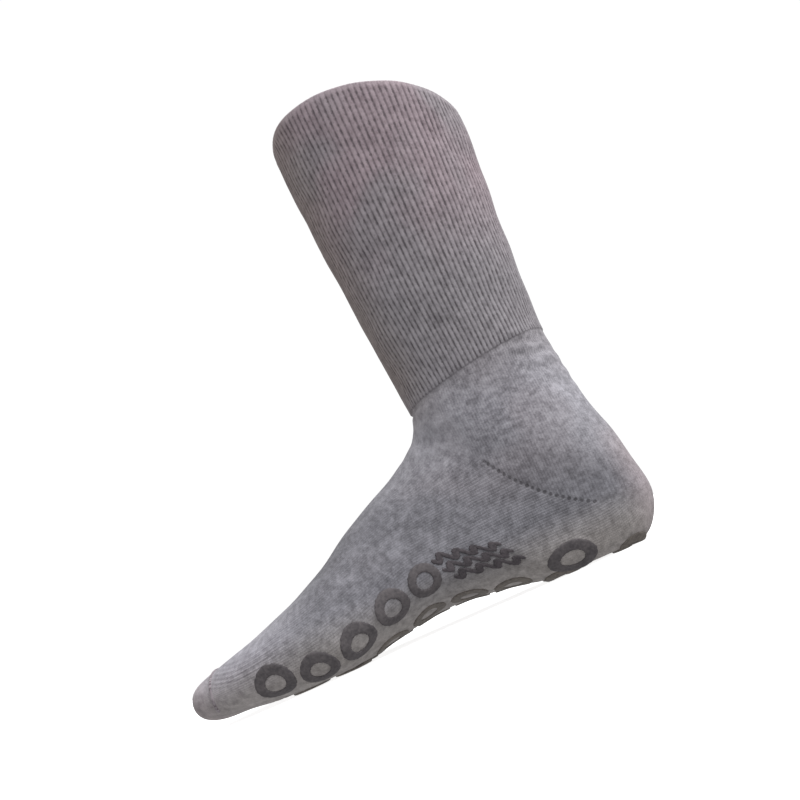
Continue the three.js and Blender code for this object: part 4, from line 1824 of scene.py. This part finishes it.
@dataclass
class GripPrint:
    """Rings and waves of matt rubber printed on the sole and its sides."""

    skin: Skin
    thickness: float = 0.0006
    standing_thickness: float = 0.0011
    standing_reach: float = 0.0019
    ring_diameter: float = 0.0188
    ring_hole: float = 0.0094
    ring_pitch: float = 0.0216
    heel_oval_length: float = 0.026
    outer_start: float = 0.457
    outer_end: float = 0.815
    outer_across: float = 0.467
    inner_start: float = 0.331
    inner_end: float = 0.78
    inner_across: float = 0.147
    wave_count: int = 3
    wave_crests: int = 4
    wave_height: float = 0.002
    wave_band: float = 0.0031
    wave_pitch: float = 0.0064
    wave_gap: float = 0.003
    segments: int = 96
    wave_segments: int = 180
    wave_end_share: float = 0.025
    wave_end_least: float = 0.05
    wave_bend_share: float = 0.85
    least_curl: float = 1.0
    wave_wobble: float = 0.00009
    wave_wobbles: tuple[int, ...] = (17, 29, 41)
    edge_wobble: float = 0.00006
    edge_waves: tuple[int, ...] = (13, 19, 26)
    smallest_ring: float = 0.84
    seed: int = 23
    rng: np.random.Generator = field(init=False)

    def __post_init__(self) -> None:
        """Starts the random draws for the uneven edges."""
        self.rng = np.random.default_rng(self.seed)

    def wobble(self, turns: np.ndarray, waves: Sequence[int], height: float) -> np.ndarray:
        """A small closed unevenness along an edge.

        Args:
            turns: Places along the edge, from 0 to a whole turn.
            waves: How many waves each of its parts has on the turn.
            height: The height of each part.

        Returns:
            The distances.
        """
        return sum(np.sin(turns * count + self.rng.uniform(0, 2 * math.pi)) * height for count in waves)

    def band(self, near: Outline, far: Outline, lay: Callable[..., Outline]) -> np.ndarray:
        """Sections of print between two edges.

        Args:
            near: Distances along and across of one edge.
            far: The same for the other edge.
            lay: Gives places and normals on the skin for such distances.

        Returns:
            An array of sections by points by three.
        """
        rows = []
        for share, height in zip(PRINT_BAND.across, PRINT_BAND.height):
            along = near[0] + (far[0] - near[0]) * share
            across = near[1] + (far[1] - near[1]) * share
            place, normal = lay(along, across)
            above_reach = self.standing_reach + self.standing_thickness - place[:, 2]
            standing = np.clip(above_reach / self.standing_reach, 0, 1)
            thick = self.thickness + (self.standing_thickness - self.thickness) * standing
            point = place + normal * (thick * height)[:, None]
            point[:, 2] = np.maximum(point[:, 2], 0.0)
            rows.append(point)
        return np.stack(rows, axis=1)

    def drawn_size(self, along: float, across: float) -> float:
        """Share of its full size that a ring has where the rings' column is drawn together.

        Args:
            along: Its middle's distance from the heel's back.
            across: Its middle's distance from the sole's middle.

        Returns:
            The share.
        """
        reach = self.ring_diameter / 2
        ends, _ = self.skin.on_sole(np.array([along - reach, along + reach]), np.array([across, across]))
        apart = float(np.linalg.norm(ends[1] - ends[0])) / self.ring_diameter
        return min(max(apart, self.smallest_ring), 1.0)

    def piece(self, node: str, rows: np.ndarray, looped: bool) -> bpy.types.Object:
        """Makes the piece that stands for a node.

        Args:
            node: The node.
            rows: The print's sections.
            looped: Whether the last section meets the first.

        Returns:
            The piece.
        """
        mesh = bpy.data.meshes.new(f"{node}_print")
        points, faces = tube(rows, looped)
        mesh.from_pydata(points, [], faces)
        faced_out(mesh)
        return shown(mesh)

    def ring(self, node: str, along: float, across: float, length: float) -> bpy.types.Object:
        """A ring.

        Args:
            node: The node that it stands for.
            along: Its middle's distance from the heel's back.
            across: Its middle's distance from the sole's middle.
            length: Its length along the foot; its width is the ring's diameter.

        Returns:
            The piece.
        """
        turns = np.linspace(0, 2 * math.pi, self.segments, endpoint=False)
        stretch = length / self.ring_diameter
        size = self.drawn_size(along, across)
        edges = []
        for diameter in (self.ring_hole, self.ring_diameter):
            radius = diameter / 2 * size + self.wobble(turns, self.edge_waves, self.edge_wobble)
            edges.append((radius * stretch * np.cos(turns), radius * np.sin(turns)))

        def lay(ahead: np.ndarray, aside: np.ndarray) -> Outline:
            """Places and normals of the ring's points."""
            return self.skin.laid_flat((along, across), ahead, aside)

        return self.piece(node, self.band(*edges, lay), looped=True)

    def wave(self, node: str, row: int, side: Side) -> bpy.types.Object:
        """A wavy line.

        Args:
            node: The node that it stands for.
            row: Its number, counted away from the sole's middle.
            side: The side of the foot.

        Returns:
            The piece.
        """
        last = self.skin.last
        start = HEEL_SIDE.along * last.foot_length + self.heel_oval_length / 2 + self.wave_gap
        end = self.outer_start * last.foot_length - self.ring_diameter / 2 - self.wave_gap
        middle = self.outer_across * last.ball_width + self.wave_height
        middle += (row - (self.wave_count - 1) / 2) * self.wave_pitch
        share = np.linspace(0, 1, self.wave_segments + 1)
        turns = self.wave_crests * 2 * math.pi
        along = start + share * (end - start)
        across = side.value * middle + self.wave_height * np.sin(share * turns)
        slope = self.wave_height * turns / (end - start) * np.cos(share * turns)
        lean = np.hypot(1, slope)
        curl = self.wave_height * (turns / (end - start)) ** 2 * np.sin(share * turns) / lean**3
        from_end = np.minimum(np.minimum(share, 1 - share) / self.wave_end_share, 1.0)
        ends = np.sqrt(np.maximum(1 - (1 - from_end) ** 2, self.wave_end_least))
        edges = []
        for way in (1, -1):
            uneven = self.wobble(share * 2 * math.pi, self.wave_wobbles, self.wave_wobble)
            within_bend = self.wave_bend_share / np.maximum(way * curl, self.least_curl)
            half = way * np.minimum(self.wave_band / 2 + uneven, within_bend) * ends / lean
            edges.append((along + slope * half, across - half))
        return self.piece(node, self.band(*edges, self.skin.on_sole), looped=False)

    def build(self) -> list[tuple[bpy.types.Object, str]]:
        """Makes all the print.

        Returns:
            Each piece with the node that it stands for.
        """
        last = self.skin.last
        made = []
        columns = (
            ("outer", self.outer_start, self.outer_end, self.outer_across),
            ("inner", self.inner_start, self.inner_end, self.inner_across),
        )
        for name, start, end, across in columns:
            count = int((end - start) * last.foot_length / self.ring_pitch) + 1
            for side in Side:
                for k in range(count):
                    node = f"forefoot_ring_{name}_{side.name.lower()}_{k + 1}"
                    along = start * last.foot_length + k * self.ring_pitch
                    ring = self.ring(node, along, side.value * across * last.ball_width, self.ring_diameter)
                    made.append((ring, node))
        for name, spot in HEEL_RINGS.items():
            length = self.heel_oval_length if spot is HEEL_SIDE else self.ring_diameter
            for side in Side:
                node = f"heel_ring_{name}_{side.name.lower()}"
                place = (spot.along * last.foot_length, side.value * spot.across * last.heel_width)
                made.append((self.ring(node, *place, length), node))
        for side in Side:
            for row in range(self.wave_count):
                node = f"arch_wave_{side.name.lower()}_{row + 1}"
                made.append((self.wave(node, row, side), node))
        return made


@dataclass
class ToeSeam:
    """The linked seam over the toes, a low bead of small stitches that thins at both ends."""

    skin: Skin
    behind_toe: float = 0.015
    band: float = 0.0017
    band_between: float = 0.8
    band_at_stitch: float = 0.25
    height: float = 0.0006
    height_between: float = 0.6
    height_at_stitch: float = 0.4
    reach: float = 0.31
    ahead_step: float = 0.02
    thinning: float = 30.0
    thinnest: float = 0.04
    steps: int = 360
    stitches: int = 56
    points: int = 8

    def build(self) -> bpy.types.Object:
        """Makes the bead.

        Returns:
            The bead.
        """
        last = self.skin.last
        along = last.foot_length - self.behind_toe
        station = float(np.interp(along, self.skin.sole_along, self.skin.sole_stations))
        share = np.linspace(-1, 1, self.steps + 1)
        around = share * self.reach
        place, normal = self.skin.at(np.full(len(share), station), around)
        ahead, _ = self.skin.at(np.full(len(share), station + self.ahead_step), around)
        forward = ahead - place
        forward /= np.linalg.norm(forward, axis=1, keepdims=True)
        taper = np.sqrt(np.clip((1 - np.abs(share)) * self.thinning, self.thinnest, 1))
        stitch = np.abs(np.sin(share * self.stitches * math.pi))
        half = self.band / 2 * taper * (self.band_between + self.band_at_stitch * stitch)
        rise = self.height * taper * (self.height_between + self.height_at_stitch * stitch)
        rows = []
        for k in range(self.points):
            turn = 2 * math.pi * k / self.points
            offset = forward * (half * math.cos(turn))[:, None] + normal * (rise * math.sin(turn))[:, None]
            rows.append(place + offset)
        mesh = bpy.data.meshes.new("toe_seam_yarn")
        points, faces = tube(np.stack(rows, axis=1), looped=False)
        mesh.from_pydata(points, [], faces)
        faced_out(mesh)
        return shown(mesh)


@dataclass(frozen=True)
class Studio:
    """The white floor and surroundings, the soft light and the camera."""

    camera_place: tuple[float, float, float] = (-0.0272, 0.4498, 0.0184)
    camera_yaw: float = 0.0
    camera_pitch: float = 12.0
    camera_roll: float = -24.0
    focal_pixels: float = 885.0
    nearest: float = 0.01
    room_radius: float = 12.0
    dome_detail: int = 4
    air_strength: float = 0.5
    key_strength: float = 3.2
    key_spread: float = 70.0
    floor_glow: float = 0.78
    key_from: tuple[float, float, float] = (-0.55, 0.3, 0.78)
    floor_white: Colour = (0.9, 0.9, 0.9, 1.0)
    room_white: Colour = (1.0, 1.0, 1.0, 1.0)
    no_colour: Colour = (0.0, 0.0, 0.0, 1.0)

    def set_apart(self, piece: bpy.types.Object, casts: bool) -> None:
        """Makes a piece a part of the stage, which the camera sees and which doesn't light the sock.

        Args:
            piece: The piece.
            casts: Whether it takes part in shadows.
        """
        piece.visible_diffuse = False
        piece.visible_glossy = False
        piece.visible_shadow = casts

    def room(self) -> None:
        """Makes the floor and the even white that surrounds it."""
        reach = self.room_radius
        floor = bpy.data.meshes.new("studio_floor")
        corners = [(-reach, -reach, 0.0), (reach, -reach, 0.0), (reach, reach, 0.0), (-reach, reach, 0.0)]
        floor.from_pydata(corners, [], [(0, 1, 2, 3)])
        paper = {
            "Base Color": self.floor_white,
            "Roughness": 0.9,
            "Specular IOR Level": 0.1,
            "Emission Color": self.room_white,
            "Emission Strength": self.floor_glow,
        }
        floor.materials.append(Board("pale_paper").finish(paper))
        self.set_apart(shown(floor), casts=True)

        grown = bmesh.new()
        bmesh.ops.create_icosphere(grown, subdivisions=self.dome_detail, radius=reach)
        backdrop = bpy.data.meshes.new("studio_backdrop")
        grown.to_mesh(backdrop)
        grown.free()
        white = {
            "Base Color": self.no_colour,
            "Emission Color": self.room_white,
            "Emission Strength": 1.0,
        }
        backdrop.materials.append(Board("white_backdrop").finish(white))
        backdrop.materials[0].cycles.emission_sampling = "NONE"
        self.set_apart(shown(backdrop), casts=False)

    def lights(self) -> None:
        """Makes the even surroundings and the wide soft key light."""
        world = bpy.data.worlds.new("studio_air")
        bpy.context.scene.world = world
        world.use_nodes = True
        air = world.node_tree.nodes["Background"]
        air.inputs["Color"].default_value = self.room_white
        air.inputs["Strength"].default_value = self.air_strength
        data = bpy.data.lights.new("soft_key", "SUN")
        data.energy = self.key_strength
        data.angle = math.radians(self.key_spread)
        key = bpy.data.objects.new("soft_key", data)
        bpy.context.scene.collection.objects.link(key)
        key.location = Vector(self.key_from)
        key.rotation_euler = (-key.location).to_track_quat("-Z", "Y").to_euler()

    def camera(self) -> None:
        """Makes the camera."""
        data = bpy.data.cameras.new("photo_view")
        data.sensor_width = SENSOR_WIDTH
        data.lens = SENSOR_WIDTH * self.focal_pixels / IMAGE_SIZE
        data.clip_start = self.nearest
        made = bpy.data.objects.new("photo_view", data)
        bpy.context.scene.collection.objects.link(made)
        yaw, pitch, roll = (math.radians(a) for a in (self.camera_yaw, self.camera_pitch, self.camera_roll))
        ahead = Vector((math.sin(yaw) * math.cos(pitch), -math.cos(yaw) * math.cos(pitch), math.sin(pitch)))
        level = ahead.to_track_quat("-Z", "Y").to_matrix()
        turned = level @ Matrix.Rotation(roll, 3, "Z")
        made.matrix_world = Matrix.Translation(self.camera_place) @ turned.to_4x4()
        bpy.context.scene.camera = made
        bpy.context.scene.view_settings.view_transform = "Standard"

    def build(self) -> None:
        """Makes it all."""
        self.room()
        self.lights()
        self.camera()


CREASES = (
    Crease(((-108, 111), (-97, 110), (-80, 112)), 0.0019, 0.0005),
    Crease(((-110, 104), (-98, 102.5), (-82, 105)), 0.0019, 0.0005),
    Crease(((-112, 96), (-100, 94), (-86, 96)), 0.0021, 0.00045),
    Crease(((-114, 87), (-102, 86), (-92, 88)), 0.0022, 0.00035),
    Crease(((-28, 97), (-40, 94), (-52, 96)), 0.003, 0.00035),
    Crease(((-22, 90), (-36, 84), (-50, 83)), 0.0032, 0.00035),
    Crease(((-14, 83), (-28, 76), (-44, 72)), 0.003, 0.0003),
)


PRINT_FINISHES = {
    "arch_wave": GripFinish("wave_print", dark=linear(58, 54, 58), light=linear(90, 84, 88)),
    "forefoot_ring_outer": GripFinish("side_print"),
    "heel_ring_side": GripFinish("side_print"),
    "": GripFinish("worn_print", dark=linear(92, 86, 83), light=linear(128, 121, 115)),
}


def main() -> None:
    """Builds the sock, dresses it and sets up the studio."""
    logging.basicConfig(level=logging.INFO, format="%(name)s: %(message)s")
    Studio().build()
    suture = HeelSuture()
    skin = Skin(Last(), Relief(CREASES, suture))
    settle(KnitBody(skin).build(), MarlKnit(suture).material(), ["knit_body"])
    settle(ToeSeam(skin).build(), LinkingYarn().material(), ["toe_seam"])
    materials = {finish: finish.material() for finish in dict.fromkeys(PRINT_FINISHES.values())}
    for piece, node in GripPrint(skin).build():
        finish = next(finish for start, finish in PRINT_FINISHES.items() if node.startswith(start))
        settle(piece, materials[finish], [node])


if __name__ == "__main__":
    main()
